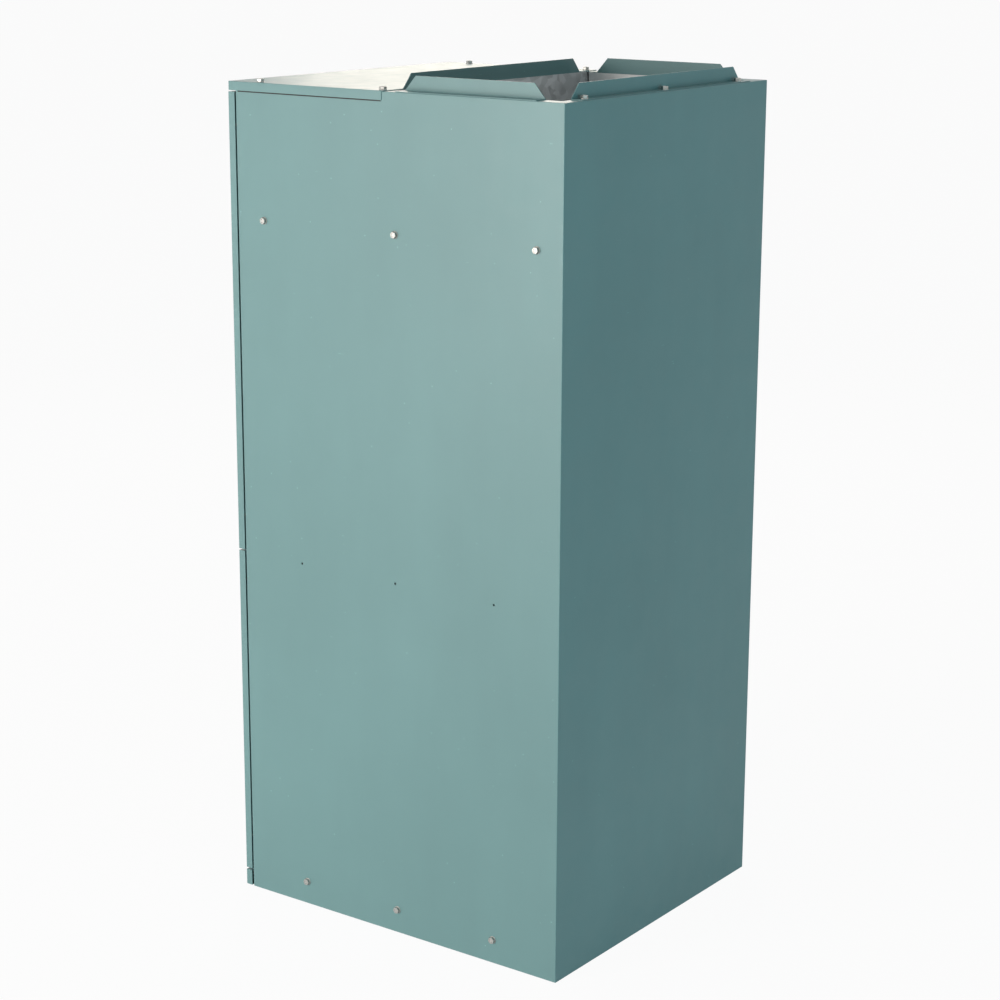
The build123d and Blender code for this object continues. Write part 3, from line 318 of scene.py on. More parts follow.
@dataclass(frozen=True)
class SheetPaint:
    """Satin baked enamel on rolled sheet: faint orange peel, mottle, dust and scuffs."""

    name: str = "cabinet_paint"
    colour: Colour = srgb(107, 146, 147)
    roughness: float = 0.42
    mottle: float = 0.07
    peel_depth: float = 0.00006
    foot_z: float = 0.11

    def build(self) -> bpy.types.Material:
        """Make the material."""
        recipe = Recipe(self.name)
        _, _, z = recipe.axes()
        broad = recipe.noise(3.2, 3.0, 0.55)
        rolled = recipe.noise(1.0, 3.0, 0.6, recipe.stretched(9.0, 9.0, 1.6))
        drift = recipe.clamped((broad - 0.5) * 1.4 + (rolled - 0.5) * 1.0 + 0.5)
        body = recipe.mix(
            drift, tint(self.colour, 1 - self.mottle), tint(self.colour, 1 + self.mottle)
        )
        foot = z.under(self.foot_z, 0.16) * (recipe.noise(14.0, 3.0, 0.6) * 0.9 + 0.1)
        dusty = recipe.mix(foot * 0.22, body, tint(self.colour, 0.72))
        speck = recipe.cells(62.0).under(0.045, 0.02) * recipe.cells(62.0, "Color").over(0.86, 0.02)
        scuff_field = recipe.noise(1.0, 4.0, 0.7, recipe.stretched(30.0, 30.0, 190.0))
        scuff = scuff_field.over(0.735, 0.03) * 0.35
        marks = recipe.clamped(speck * 0.75 + scuff)
        worn = recipe.mix(marks, dusty, tint(self.colour, 1.9))
        peel = recipe.noise(420.0, 2.0, 0.5)
        waves = recipe.noise(7.0, 1.0, 0.4)
        surface = peel * 0.55 + waves * 0.45
        patches = (recipe.noise(38.0, 3.0, 0.6) - 0.5) * 0.16
        rough = recipe.clamped(patches + foot * 0.10 + marks * 0.15 + self.roughness)
        return recipe.finish(
            Base_Color=worn,
            Roughness=rough,
            Metallic=0.0,
            IOR=1.42,
            Coat_Weight=0.05,
            Coat_Roughness=0.28,
            Normal=recipe.bump(surface, self.peel_depth, 0.5),
        )


@dataclass(frozen=True)
class Galvanised:
    """Hot-dipped sheet steel with its frosted spangle."""

    name: str = "galvanised_sheet"
    colour: Colour = (0.56, 0.585, 0.60)
    spangle: float = 95.0

    def build(self) -> bpy.types.Material:
        """Make the material."""
        recipe = Recipe(self.name)
        crystal = recipe.cells(self.spangle, "Color")
        seam = recipe.cells(self.spangle).over(0.55, 0.5)
        cloud = recipe.noise(16.0, 3.0, 0.6)
        shade = recipe.clamped(crystal * 0.5 + cloud * 0.5)
        body = recipe.mix(shade, tint(self.colour, 0.72), tint(self.colour, 1.18))
        rough = recipe.clamped(crystal * 0.16 + seam * 0.08 + 0.30)
        return recipe.finish(
            Base_Color=body,
            Metallic=0.92,
            Roughness=rough,
            Normal=recipe.bump(crystal * 0.6 + cloud * 0.4, 0.00005, 0.5),
        )


@dataclass(frozen=True)
class Plated:
    """Zinc plate on fasteners: bright, with a faint straw cast and turning marks."""

    name: str = "zinc_screws"
    colour: Colour = (0.40, 0.42, 0.42)
    cast: Colour = (0.33, 0.32, 0.27)
    roughness: float = 0.36

    def build(self) -> bpy.types.Material:
        """Make the material."""
        recipe = Recipe(self.name)
        cloud = recipe.noise(330.0, 3.0, 0.6)
        fine = recipe.noise(2600.0, 2.0, 0.5)
        body = recipe.mix(recipe.clamped(cloud * 0.8), self.colour, self.cast)
        return recipe.finish(
            Base_Color=body,
            Metallic=1.0,
            Roughness=recipe.clamped(fine * 0.22 + self.roughness - 0.08),
            Normal=recipe.bump(fine, 0.00002, 0.4),
        )


@dataclass(frozen=True)
class FoilLiner:
    """Foil facing on foam: soft crinkles over a light square scrim."""

    name: str = "foil_liner"
    colour: Colour = (0.84, 0.87, 0.86)
    scrim: float = 0.0065
    metallic: float = 0.18

    def build(self) -> bpy.types.Material:
        """Make the material."""
        recipe = Recipe(self.name)
        x, y, z = recipe.axes()
        lines = None
        for axis in (x + y, z):
            near = abs((axis % self.scrim) / self.scrim - 0.5).over(0.44, 0.06)
            lines = near if lines is None else lines + near
        crinkle = recipe.noise(75.0, 5.0, 0.62)
        dents = recipe.cells(48.0)
        body = recipe.mix(recipe.clamped(crinkle * 1.2 - 0.1), tint(self.colour, 0.80), self.colour)
        height = recipe.clamped(crinkle * 0.6 + dents * 0.3 + recipe.clamped(lines) * 0.25)
        return recipe.finish(
            Base_Color=body,
            Metallic=self.metallic,
            Roughness=recipe.clamped(crinkle * 0.2 + 0.30),
            Normal=recipe.bump(height, 0.0006, 0.6),
        )


@dataclass(frozen=True)
class FinPack:
    """Edges of thin fins standing across the slab, with a few bent ones, and painted shade in the
    gaps between them.
    """

    name: str = "coil_fins"
    colour: Colour = (0.74, 0.75, 0.76)
    pitch: float = 0.0019

    def build(self) -> bpy.types.Material:
        """Make the material."""
        recipe = Recipe(self.name)
        _, y, _ = recipe.axes()
        wander = (recipe.noise(60.0, 2.0, 0.5) - 0.5) * 0.0010
        # 1 on a fin's edge, 0 in the gap between fins, where the painted shade goes
        edge = abs(((y + wander) % self.pitch) / self.pitch - 0.5).under(0.26, 0.18)
        dust = recipe.noise(24.0, 4.0, 0.6)
        lit = recipe.mix(dust, self.colour, tint(self.colour, 0.82))
        # painted shade: between the fin edges the colour drops to a tenth, for the shadow deep in
        # the gaps
        body = recipe.mix(edge, tint(self.colour, 0.10), lit)
        return recipe.finish(
            Base_Color=body,
            Metallic=0.85,
            Roughness=recipe.clamped(dust * 0.2 + 0.34),
            Normal=recipe.bump(edge, 0.0009, 0.8),
        )


@dataclass(frozen=True)
class Tarnished:
    """Drawn copper or brass, darkened in patches and browned where it was brazed."""

    name: str
    colour: Colour
    tarnish: Colour
    roughness: float = 0.32

    def build(self) -> bpy.types.Material:
        """Make the material."""
        recipe = Recipe(self.name)
        patch = recipe.noise(46.0, 4.0, 0.62)
        drawn = recipe.noise(1.0, 2.0, 0.5, recipe.stretched(700.0, 90.0, 700.0))
        share = recipe.clamped((patch - 0.42) * 2.6)
        body = recipe.mix(share * 0.75, self.colour, self.tarnish)
        return recipe.finish(
            Base_Color=body,
            Metallic=1.0,
            Roughness=recipe.clamped(patch * 0.22 + drawn * 0.10 + self.roughness - 0.12),
            Normal=recipe.bump(drawn, 0.00003, 0.4),
        )


class Grain(Enum):
    """The surface that a moulded or coated piece is left with."""

    FINE = 900.0
    PEBBLED = 420.0
    SMOOTH = 160.0


@dataclass(frozen=True)
class Moulded:
    """Moulded plastic, rubber or coated metal in one colour with its own grain."""

    name: str
    colour: Colour
    grain: Grain = Grain.FINE
    roughness: float = 0.5
    depth: float = 0.00006
    metallic: float = 0.0

    def build(self) -> bpy.types.Material:
        """Make the material."""
        recipe = Recipe(self.name)
        texture = recipe.noise(self.grain.value, 2.0, 0.5)
        cloud = recipe.noise(22.0, 3.0, 0.6)
        dust = recipe.clamped((cloud - 0.4) * 1.6)
        body = recipe.mix(dust * 0.5, self.colour, tint(self.colour, 1.35))
        return recipe.finish(
            Base_Color=body,
            Metallic=self.metallic,
            Roughness=recipe.clamped((cloud - 0.5) * 0.22 + self.roughness),
            Normal=recipe.bump(texture, self.depth, 0.6),
        )


@dataclass(frozen=True)
class CircuitBoard:
    """Green solder mask over a maze of straight copper tracks and bright pads."""

    name: str = "board_green"
    mask: Colour = (0.020, 0.115, 0.045)
    track: Colour = (0.045, 0.21, 0.075)
    pad: Colour = (0.62, 0.60, 0.52)
    row_pitch: float = 0.0032
    column_pitch: float = 0.0041

    def build(self) -> bpy.types.Material:
        """Make the material."""
        recipe = Recipe(self.name)
        x, _, z = recipe.axes()
        blocks = recipe.cells(70.0, "Color")
        rows = abs((z % self.row_pitch) / self.row_pitch - 0.5).under(0.17, 0.06)
        columns = abs((x % self.column_pitch) / self.column_pitch - 0.5).under(0.14, 0.06)
        chosen = blocks.over(0.5, 0.02)
        tracks = recipe.clamped(rows * chosen + columns * (1 - chosen))
        pads = recipe.cells(190.0).under(0.17, 0.05) * recipe.cells(190.0, "Color").over(0.7, 0.02)
        base = recipe.mix(tracks, self.mask, self.track)
        return recipe.finish(
            Base_Color=recipe.mix(pads, base, self.pad),
            Roughness=recipe.clamped(0.30 + tracks * 0.08),
            Metallic=pads * 0.8,
            Normal=recipe.bump(tracks + pads, 0.00008, 0.7),
        )


@dataclass(frozen=True)
class FilterCard:
    """Brown fibre board with fluting and soft handled edges."""

    name: str = "filter_card"
    colour: Colour = (0.42, 0.29, 0.165)
    flute_pitch: float = 0.0050

    def build(self) -> bpy.types.Material:
        """Make the material."""
        recipe = Recipe(self.name)
        x, y, _ = recipe.axes()
        fibres = recipe.noise(1.0, 4.0, 0.7, recipe.stretched(260.0, 900.0, 260.0))
        flute = abs(((x + y) % self.flute_pitch) / self.flute_pitch - 0.5)
        blot = recipe.noise(18.0, 3.0, 0.6)
        share = recipe.clamped(fibres * 0.6 + blot * 0.4)
        body = recipe.mix(share, tint(self.colour, 0.78), tint(self.colour, 1.22))
        return recipe.finish(
            Base_Color=body,
            Roughness=recipe.clamped(fibres * 0.1 + 0.82),
            Normal=recipe.bump(fibres * 0.5 + flute * 0.5, 0.00018, 0.6),
        )


@dataclass(frozen=True)
class FilterFleece:
    """White non-woven fleece with loose fibres, greyed a little by dust."""

    name: str = "filter_media_white"
    colour: Colour = (0.80, 0.80, 0.775)

    def build(self) -> bpy.types.Material:
        """Make the material."""
        recipe = Recipe(self.name)
        fibres = recipe.noise(760.0, 5.0, 0.8)
        clumps = recipe.noise(90.0, 3.0, 0.6)
        share = recipe.clamped(fibres * 0.6 + clumps * 0.5 - 0.05)
        body = recipe.mix(share, tint(self.colour, 0.74), self.colour)
        return recipe.finish(
            Base_Color=body,
            Roughness=0.95,
            Normal=recipe.bump(fibres * 0.7 + clumps * 0.3, 0.0005, 0.8),
        )


@dataclass(frozen=True)
class Palette:
    """Every finish of the part, by the record's slot."""

    paint: SheetPaint = SheetPaint()
    galvanised: Galvanised = Galvanised()
    zinc: Plated = Plated()
    foil: FoilLiner = FoilLiner()
    fins: FinPack = FinPack()
    aluminium: Galvanised = Galvanised("aluminium_parts", (0.72, 0.73, 0.74), 700.0)
    copper: Tarnished = Tarnished("copper_tube", (0.74, 0.34, 0.19), (0.30, 0.125, 0.07))
    brass: Tarnished = Tarnished("brass_valve", (0.72, 0.52, 0.22), (0.36, 0.24, 0.09))
    pan: Moulded = Moulded("pan_plastic", (0.022, 0.023, 0.026), Grain.PEBBLED, 0.46)
    motor: Moulded = Moulded("motor_paint", (0.020, 0.021, 0.023), Grain.FINE, 0.36, 0.00004)
    shaft: Plated = Plated("steel_shaft", (0.58, 0.58, 0.59), (0.50, 0.50, 0.50), 0.22)
    rubber: Moulded = Moulded("black_rubber", (0.018, 0.018, 0.018), Grain.SMOOTH, 0.78)
    board: CircuitBoard = CircuitBoard()
    parts: Moulded = Moulded("component_plastic", (0.030, 0.036, 0.048), Grain.FINE, 0.42)
    card: FilterCard = FilterCard()
    fleece: FilterFleece = FilterFleece()


Point = Union[Vector, Sequence[float]]


def matrix_at(origin: Point, along: Point, across: Point | None = None) -> Matrix:
    """A frame whose z runs along a direction.

    Args:
        origin: Its origin, in metres.
        along: The direction of its z.
        across: The direction that its x is nearest to.

    Returns:
        The matrix from the frame to the part's own frame.
    """
    z = Vector(along).normalized()
    if across is None:
        across = (1, 0, 0) if abs(z.x) < 0.9 else (0, 1, 0)
    y = z.cross(Vector(across)).normalized()
    x = y.cross(z)
    made = Matrix((x, y, z)).transposed().to_4x4()
    made.translation = Vector(origin)
    return made


def rounded(points: Iterable[Point], bend: float, steps: int = 8) -> list[Vector]:
    """Round the corners of a rigid tube's route.

    Args:
        points: The route's ends and corners.
        bend: The radius of the arcs, in metres.
        steps: Chords in each arc.

    Returns:
        The points of the rounded route.
    """
    places = [Vector(point) for point in points]
    route = [places[0]]
    for before, corner, after in zip(places, places[1:], places[2:]):
        u, v = (before - corner).normalized(), (after - corner).normalized()
        half = u.angle(v) / 2
        centre = corner + (u + v).normalized() * bend / math.sin(half)
        start = corner + u * bend / math.tan(half) - centre
        end = corner + v * bend / math.tan(half) - centre
        sweep = start.angle(end)
        for step in range(steps + 1):
            share = step / steps
            arm = start * math.sin((1 - share) * sweep) + end * math.sin(share * sweep)
            route.append(centre + arm / math.sin(sweep))
    return route + [places[-1]]


def hexagon(radius: float) -> list[Pair]:
    """The corners of a hexagon about the origin."""
    turns = [math.pi * k / 3 for k in range(6)]
    return [(radius * math.cos(turn), radius * math.sin(turn)) for turn in turns]


class Body:
    """Points and faces of one piece while it is being made."""

    def __init__(self) -> None:
        """Start with nothing."""
        self.points: list[Vector] = []
        self.faces: list[tuple[int, ...]] = []

    def rings(self, rings: list[list[Vector]], caps: bool = True, loop: bool = False) -> None:
        """Skin rings of equal length one after another.

        Args:
            rings: The rings' points.
            caps: Whether the two ends are closed.
            loop: Whether the last ring joins the first.
        """
        base, count = len(self.points), len(rings[0])
        for ring in rings:
            self.points.extend(ring)
        pairs = len(rings) if loop else len(rings) - 1
        for index in range(pairs):
            a, b = base + index * count, base + (index + 1) % len(rings) * count
            for k in range(count):
                n = (k + 1) % count
                self.faces.append((a + k, a + n, b + n, b + k))
        if caps and not loop:
            self.faces.append(tuple(reversed(range(base, base + count))))
            last = base + (len(rings) - 1) * count
            self.faces.append(tuple(range(last, last + count)))

    def lathe(
        self, profile: Sequence[Pair], frame: Matrix, sides: int = 40, loop: bool = False
    ) -> None:
        """Turn a profile about the frame's z.

        Args:
            profile: Its points, each a radius and a height.
            frame: The frame that it stands in.
            sides: Facets round the axis.
            loop: Whether the profile closes on itself, as a ring's does.
        """
        rings = []
        for radius, height in profile:
            ring = []
            for k in range(sides):
                turn = 2 * math.pi * k / sides
                place = Vector((radius * math.cos(turn), radius * math.sin(turn), height))
                ring.append(frame @ place)
            rings.append(ring)
        self.rings(rings, caps=not loop, loop=loop)

    def prism(self, outline: Sequence[Pair], frame: Matrix, low: float, high: float) -> None:
        """Raise an outline in the frame's x and y from one height to another."""
        self.rings([[frame @ Vector((u, v, z)) for u, v in outline] for z in (low, high)])

    def tube(self, route: Sequence[Vector], radius: float, sides: int = 16) -> None:
        """Skin a round tube along a route, turning its rings as little as possible.

        Args:
            route: The points of its middle line.
            radius: Its radius, in metres.
            sides: Facets round it.
        """
        rings = []
        side = None
        for index, place in enumerate(route):
            ahead = route[min(index + 1, len(route) - 1)] - route[max(index - 1, 0)]
            z = ahead.normalized()
            if side is None:
                side = z.orthogonal().normalized()
            side = (side - z * side.dot(z)).normalized()
            other = z.cross(side)
            turns = [2 * math.pi * k / sides for k in range(sides)]
            rings.append(
                [place + (side * math.cos(t) + other * math.sin(t)) * radius for t in turns]
            )
        self.rings(rings)

    def slab(self, low: Point, high: Point, ease: float = 0.0) -> None:
        """Add a block with its upright edges eased.

        Args:
            low: Its lowest corner.
            high: Its highest corner.
            ease: How much is taken off each upright edge, in metres.
        """
        x0, y0, z0 = low
        x1, y1, z1 = high
        e = ease
        outline = [
            (x0 + e, y0), (x1 - e, y0), (x1, y0 + e), (x1, y1 - e),
            (x1 - e, y1), (x0 + e, y1), (x0, y1 - e), (x0, y0 + e),
        ]
        self.rings([[Vector((u, v, z)) for u, v in outline] for z in (z0, z1)])


def curve_length(curve: bpy.types.Curve) -> float:
    """Measure a curve along its middle line.

    Args:
        curve: The curve, with or without its round section.

    Returns:
        Its length, in metres.
    """
    depsgraph = bpy.context.evaluated_depsgraph_get()
    bare = curve.copy()
    bare.bevel_depth = 0.0
    probe = bpy.data.objects.new("probe", bare)
    bpy.context.scene.collection.objects.link(probe)
    depsgraph.update()
    mesh = bpy.data.meshes.new_from_object(probe.evaluated_get(depsgraph))
    length = 0.0
    for edge in mesh.edges:
        a, b = (mesh.vertices[k].co for k in edge.vertices)
        length += (a - b).length
    bpy.data.objects.remove(probe)
    bpy.data.curves.remove(bare)
    bpy.data.meshes.remove(mesh)
    return length


class Workshop:
    """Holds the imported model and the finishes, and hands out dressed pieces."""

    def __init__(self, frame: dict[str, Any], palette: Palette) -> None:
        """Make every finish once.

        Args:
            palette: The finishes.
        """
        self.nodes: dict[str, bpy.types.Object] = frame["nodes"]
        self.body_of: dict[str, str] = {
            name: obj["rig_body"] for name, obj in self.nodes.items() if "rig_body" in obj
        }
        self.finishes: dict[str, bpy.types.Material] = {}
        for finish in vars(palette).values():
            self.finishes[finish.name] = finish.build()

    def dress(self, slot: str, *names: str) -> None:
        """Give CAD nodes a finish.

        Args:
            slot: The finish, by the record's slot.
            names: The nodes.
        """
        for name in names:
            node = self.nodes[name]
            if not node.material_slots:
                node.data.materials.append(self.finishes[slot])
            for place in node.material_slots:
                place.material = self.finishes[slot]
            log.info("node %s in %s", name, slot)

    def piece(
        self,
        name: str,
        body: Body,
        slot: str,
        rides: str,
        replaces: Sequence[str] = (),
        bevel: float = 0.0,
        crease: float = 35.0,
    ) -> bpy.types.Object:
        """Turn a body into an object that rides on the part.

        Args:
            name: The piece's name.
            body: Its points and faces.
            slot: Its finish, by the record's slot.
            rides: The CAD body that it moves with.
            replaces: CAD nodes that it stands for.
            bevel: Width of the rounding on its sharp edges, in metres.
            crease: Edges over this angle, in degrees, stay sharp.

        Returns:
            The object.
        """
        mesh = bpy.data.meshes.new(name)
        mesh.from_pydata([tuple(p) for p in body.points], [], body.faces)
        work = bmesh.new()
        work.from_mesh(mesh)
        bmesh.ops.remove_doubles(work, verts=work.verts, dist=1e-6)
        bmesh.ops.recalc_face_normals(work, faces=work.faces)
        for face in work.faces:
            face.smooth = True
        for edge in work.edges:
            edge.smooth = edge.is_manifold and edge.calc_face_angle(3.2) < math.radians(crease)
        work.to_mesh(mesh)
        work.free()
        obj = bpy.data.objects.new(name, mesh)
        bpy.context.scene.collection.objects.link(obj)
        mesh.materials.append(self.finishes[slot])
        if bevel:
            modifier = obj.modifiers.new("rounding", "BEVEL")
            modifier.width = bevel
            modifier.segments = 2
            modifier.limit_method = "ANGLE"
            modifier.angle_limit = math.radians(40)
        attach(obj, rides)
        if replaces:
            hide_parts(*replaces)
        log.info("piece %s in %s on %s", name, slot, rides)
        return obj

    def clusters(self, node: str, reach: float = 0.04) -> list[tuple[Vector, Vector]]:
        """Find the boxes of a node's separate solids.

        Args:
            node: The CAD node.
            reach: The size of one solid, in metres, which they stand further apart than.

        Returns:
            The lowest and highest corner of each.
        """
        groups: list[list[Vector]] = []
        for vertex in self.nodes[node].data.vertices:
            for group in groups:
                if (group[0] - vertex.co).length < reach:
                    group.append(vertex.co.copy())
                    break
            else:
                groups.append([vertex.co.copy()])
        boxes = []
        for group in groups:
            low = Vector(min(p[i] for p in group) for i in range(3))
            high = Vector(max(p[i] for p in group) for i in range(3))
            boxes.append((low, high))
        return boxes


@dataclass
class Casing:
    """The painted sheet-metal cabinet, its cover, panels, door and duct flanges."""

    shop: Workshop
    painted: tuple[str, ...] = (
        "cabinet_wrapper",
        "top_cover",
        "duct_flange_left",
        "duct_flange_right",
        "duct_flange_rear",
        "upper_access_panel",
        "lower_access_panel",
        "filter_door",
    )
    liners: tuple[str, ...] = (
        "plenum_liner",
        "coil_liner",
        "blower_liner",
        "upper_panel_liner",
        "lower_panel_liner",
    )
    shelves: tuple[str, ...] = (
        "coil_support_shelf",
        "filter_rails",
        "front_mid_rail",
        "front_top_rail",
        "blower_deck",
        "plenum_partition",
        "heater_blank_plate",
    )
    # the strip of painted shade under the cover's lips: how far it stands out, sinks in, hangs
    # below and reaches over
    shade_strip_proud: float = 0.0005
    shade_strip_sunk: float = 0.0004
    shade_strip_hang: float = 0.0016
    shade_strip_over: float = 0.0003

    def lip_shade_strip(self) -> None:
        """A dark strip under the cover's side lips: painted shade that stands for the shadow line
        under them.
        """
        lo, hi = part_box("top_cover")
        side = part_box("cabinet_wrapper")[1].x
        body = Body()
        for sign in (-1, 1):
            inner, outer = side - self.shade_strip_sunk, side + self.shade_strip_proud
            x0, x1 = sorted((sign * inner, sign * outer))
            low = (x0, lo.y + 0.016, lo.z - self.shade_strip_hang)
            body.slab(low, (x1, hi.y - 0.0042, lo.z + self.shade_strip_over), 0.0002)
        # painted shade: a black strip where the shadow line under each lip falls
        self.shop.piece("cover_lip_painted_shade", body, "black_rubber", "cabinet")

    def build(self) -> None:
        """Dress the sheets, the liners and the shelves, and add the strip of painted shade under
        the cover's lips.
        """
        self.lip_shade_strip()
        self.shop.dress("cabinet_paint", *self.painted)
        self.shop.dress("foil_liner", *self.liners)
        self.shop.dress("galvanised_sheet", *self.shelves)


@dataclass
class Fasteners:
    """Hex washer head screws in place of the plain ones of the solids."""

    shop: Workshop
    head_r: float = 0.0048
    head_h: float = 0.0046
    washer_r: float = 0.0052
    washer_h: float = 0.0009
    washer_bore_r: float = 0.0018
    shank_r: float = 0.0020
    thread_pitch: float = 0.0014

    def screw(self, body: Body, seat: Matrix, grip: float) -> None:
        """Add one screw.

        Args:
            body: What it is added to.
            seat: Its frame, with z out of the sheet and the origin on the sheet.
            grip: Its length under the head, in metres.
        """
        washer = [
            (self.washer_bore_r, -0.0001),
            (self.washer_r, 0.0),
            (self.washer_r, self.washer_h * 0.55),
            (self.washer_r * 0.9, self.washer_h),
            (self.washer_bore_r, self.washer_h),
        ]
        body.lathe(washer, seat, 28)
        crown = self.head_h - 0.0007
        corners = hexagon(self.head_r)
        rings = []
        for height, share in (
            (self.washer_h * 0.8, 1.0),
            (crown, 1.0),
            (self.head_h - 0.0001, 0.86),
            (self.head_h - 0.0001, 0.62),
            (self.head_h - 0.0008, 0.52),
        ):
            rings.append([seat @ Vector((u * share, v * share, height)) for u, v in corners])
        body.rings(rings)
        turns = max(4, int(grip / self.thread_pitch))
        profile = [(self.shank_r * 0.8, 0.0002)]
        for turn in range(turns):
            deep = -grip * (turn + 0.25) / turns
            profile += [(self.shank_r * 0.76, deep), (self.shank_r, deep - grip / turns * 0.45)]
        profile.append((0.0004, -grip))
        body.lathe(profile, seat, 12)

    def row(self, node: str, rides: str) -> None:
        """Replace every screw of one node.

        Args:
            node: The CAD node.
            rides: The body that the screws move with.
        """
        body = Body()
        for index, (low, high) in enumerate(self.shop.clusters(node)):
            centre = (low + high) / 2
            if node in ("top_screws", "housing_screws"):
                out, length = Vector((0, 0, 1)), high.z - low.z
                tip = Vector((centre.x, centre.y, high.z))
            elif node == "side_screws":
                side = 1.0 if centre.x > 0 else -1.0
                out, length = Vector((side, 0, 0)), high.x - low.x
                tip = Vector((high.x if side > 0 else low.x, centre.y, centre.z))
            else:
                out, length = Vector((0, -1, 0)), high.y - low.y
                tip = Vector((centre.x, low.y, centre.z))
            seat = matrix_at(tip - out * self.head_h, out)
            seat = seat @ Matrix.Rotation(0.9 * index + 0.3, 4, "Z")
            self.screw(body, seat, length - self.head_h)
        name = node.replace("_screws", "_hex_screws")
        self.shop.piece(name, body, "zinc_screws", rides, (node,), crease=25.0)

    def build(self) -> None:
        """Replace all the screws."""
        self.row("upper_panel_screws", "upper_panel")
        self.row("lower_panel_screws", "lower_panel")
        self.row("door_screws", "door")
        for node in ("side_screws", "top_screws", "housing_screws"):
            self.row(node, "cabinet")
        self.shop.dress("zinc_screws", "motor_bolts")


@dataclass
class AirSide:
    """The blower: scroll, double-inlet wheel, motor, band and shaft."""

    shop: Workshop
    axis_y: float = 0.0098
    axis_z: float = 0.7628
    sheet: float = 0.0012
    growth: float = 0.026
    wheel_r: float = 0.127
    wheel_half: float = 0.127
    blade_depth: float = 0.018
    blades: int = 42
    blade_half_t: float = 0.0004
    blade_cup: float = 0.0046
    blade_lean: float = math.radians(6.0)
    bore_r: float = 0.0064
    first_r: float = 0.150
    nose_r: float = 0.008
    cutoff_in: float = 0.012
    scroll_half: float = 0.1348
    edge: float = 0.004
    bell_flare: float = 0.007
    bell_depth: float = 0.013
    throat_r: float = 0.1033
    motor_r: float = 0.070
    motor_x: Pair = (0.01525, 0.16325)
    vents: int = 12
    vent_ring_r: float = 0.040
    vent_half_l: float = 0.009
    vent_half_w: float = 0.0022
    lead_r: float = 0.0036
    lead_drop: float = 0.035
    lead_x: float = 0.190

    @property
    def outlet_up(self) -> float:
        """Height of the scroll's mouth above the axis."""
        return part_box("scroll_wrap")[1].z - self.axis_z

    def across(self, x: float) -> Matrix:
        """The frame square to the wheel's axis: its x is the part's y and its y is z.

        Args:
            x: Where it crosses the axis.

        Returns:
            The matrix from the frame to the part's own frame.
        """
        made = Matrix(((0, 0, 1), (1, 0, 0), (0, 1, 0))).to_4x4()
        made.translation = Vector((x, self.axis_y, self.axis_z))
        return made

    def volute(self, edge: float, steps: int = 20) -> list[Pair]:
        """The scroll's outline, standing off its inner face by the edge.

        Args:
            edge: The distance off the inner face, in metres.
            steps: Chords in each quarter turn.

        Returns:
            Points in the frame across the axis.
        """
        half = self.growth / 2
        low = -half + self.first_r + edge
        nose = self.nose_r - edge
        cut = self.cutoff_in - half - edge
        places: list[Pair] = []
        quarters = ((-half, -half, 0), (half, -half, 1), (half, half, 2))
        for y, z, index in quarters:
            radius = self.first_r + index * self.growth + edge
            for step in range(steps + 1):
                if step == 0 and index:
                    continue
                turn = math.radians(90 + 90 * index + 90 * step / steps)
                places.append((y + radius * math.cos(turn), z + radius * math.sin(turn)))
        back = half + self.first_r + 2 * self.growth + edge
        places += [(back, self.outlet_up), (cut, self.outlet_up)]
        for step in range(7):
            turn = math.radians(-15 * step)
            places.append(
                (cut - nose + nose * math.cos(turn), low + nose + nose * math.sin(turn))
            )
        return places

    def wrap(self) -> None:
        """The rolled scroll sheet, open at its mouth."""
        body = Body()
        paths = []
        for edge in (self.sheet, 0.0):
            outline = self.volute(edge)
            start = outline.index(max(outline, key=lambda place: (place[1], -place[0])))
            paths.append(outline[start:] + outline[:start])
        section = paths[0] + list(reversed(paths[1]))
        body.prism(section, self.across(0.0), -self.scroll_half, self.scroll_half)
        self.shop.piece("scroll_sheet", body, "galvanised_sheet", "cabinet", ("scroll_wrap",))

    def side_plate(self, side: int, node: str) -> None:
        """One scroll side with its drawn inlet bell and hanging flange.

        Args:
            side: 1 for the right side and -1 for the left.
            node: The CAD node that it stands for.
        """
        outline = self.volute(self.edge)
        inlet = self.throat_r + self.bell_flare
        ring = []
        for u, v in outline:
            length = math.hypot(u, v)
            ring.append((u / length * inlet, v / length * inlet))
        x0 = side * self.scroll_half
        x1 = side * (self.scroll_half + self.sheet)
        low, high = self.across(x0), self.across(x1)
        body = Body()
        body.rings(
            [
                [low @ Vector((u, v, 0)) for u, v in ring],
                [low @ Vector((u, v, 0)) for u, v in outline],
                [high @ Vector((u, v, 0)) for u, v in outline],
                [high @ Vector((u, v, 0)) for u, v in ring],
            ],
            loop=True,
        )
        bell = Body()
        tip = self.scroll_half + self.sheet - self.bell_depth
        profile = []
        for step in range(7):
            turn = math.radians(15 * step)
            profile.append(
                (
                    inlet + 0.0006 - self.bell_flare * math.sin(turn),
                    tip + self.bell_depth * math.cos(turn) + 0.0003,
                )
            )
        profile += [(radius + self.sheet, height) for radius, height in reversed(profile)]
        facing = self.across(0.0) @ Matrix.Diagonal((1, 1, side, 1))
        bell.lathe(profile, facing, 72, loop=True)
        start = len(body.points)
        body.points.extend(bell.points)
        body.faces.extend(tuple(k + start for k in face) for face in bell.faces)
        lo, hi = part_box(node)
        leg = sorted((x1, hi.x if side > 0 else lo.x))
        body.slab((leg[0], lo.y, hi.z - self.sheet), (leg[1], hi.y, hi.z - 0.00002))
        name = "scroll_plate_right" if side > 0 else "scroll_plate_left"
        self.shop.piece(name, body, "galvanised_sheet", "cabinet", (node,))

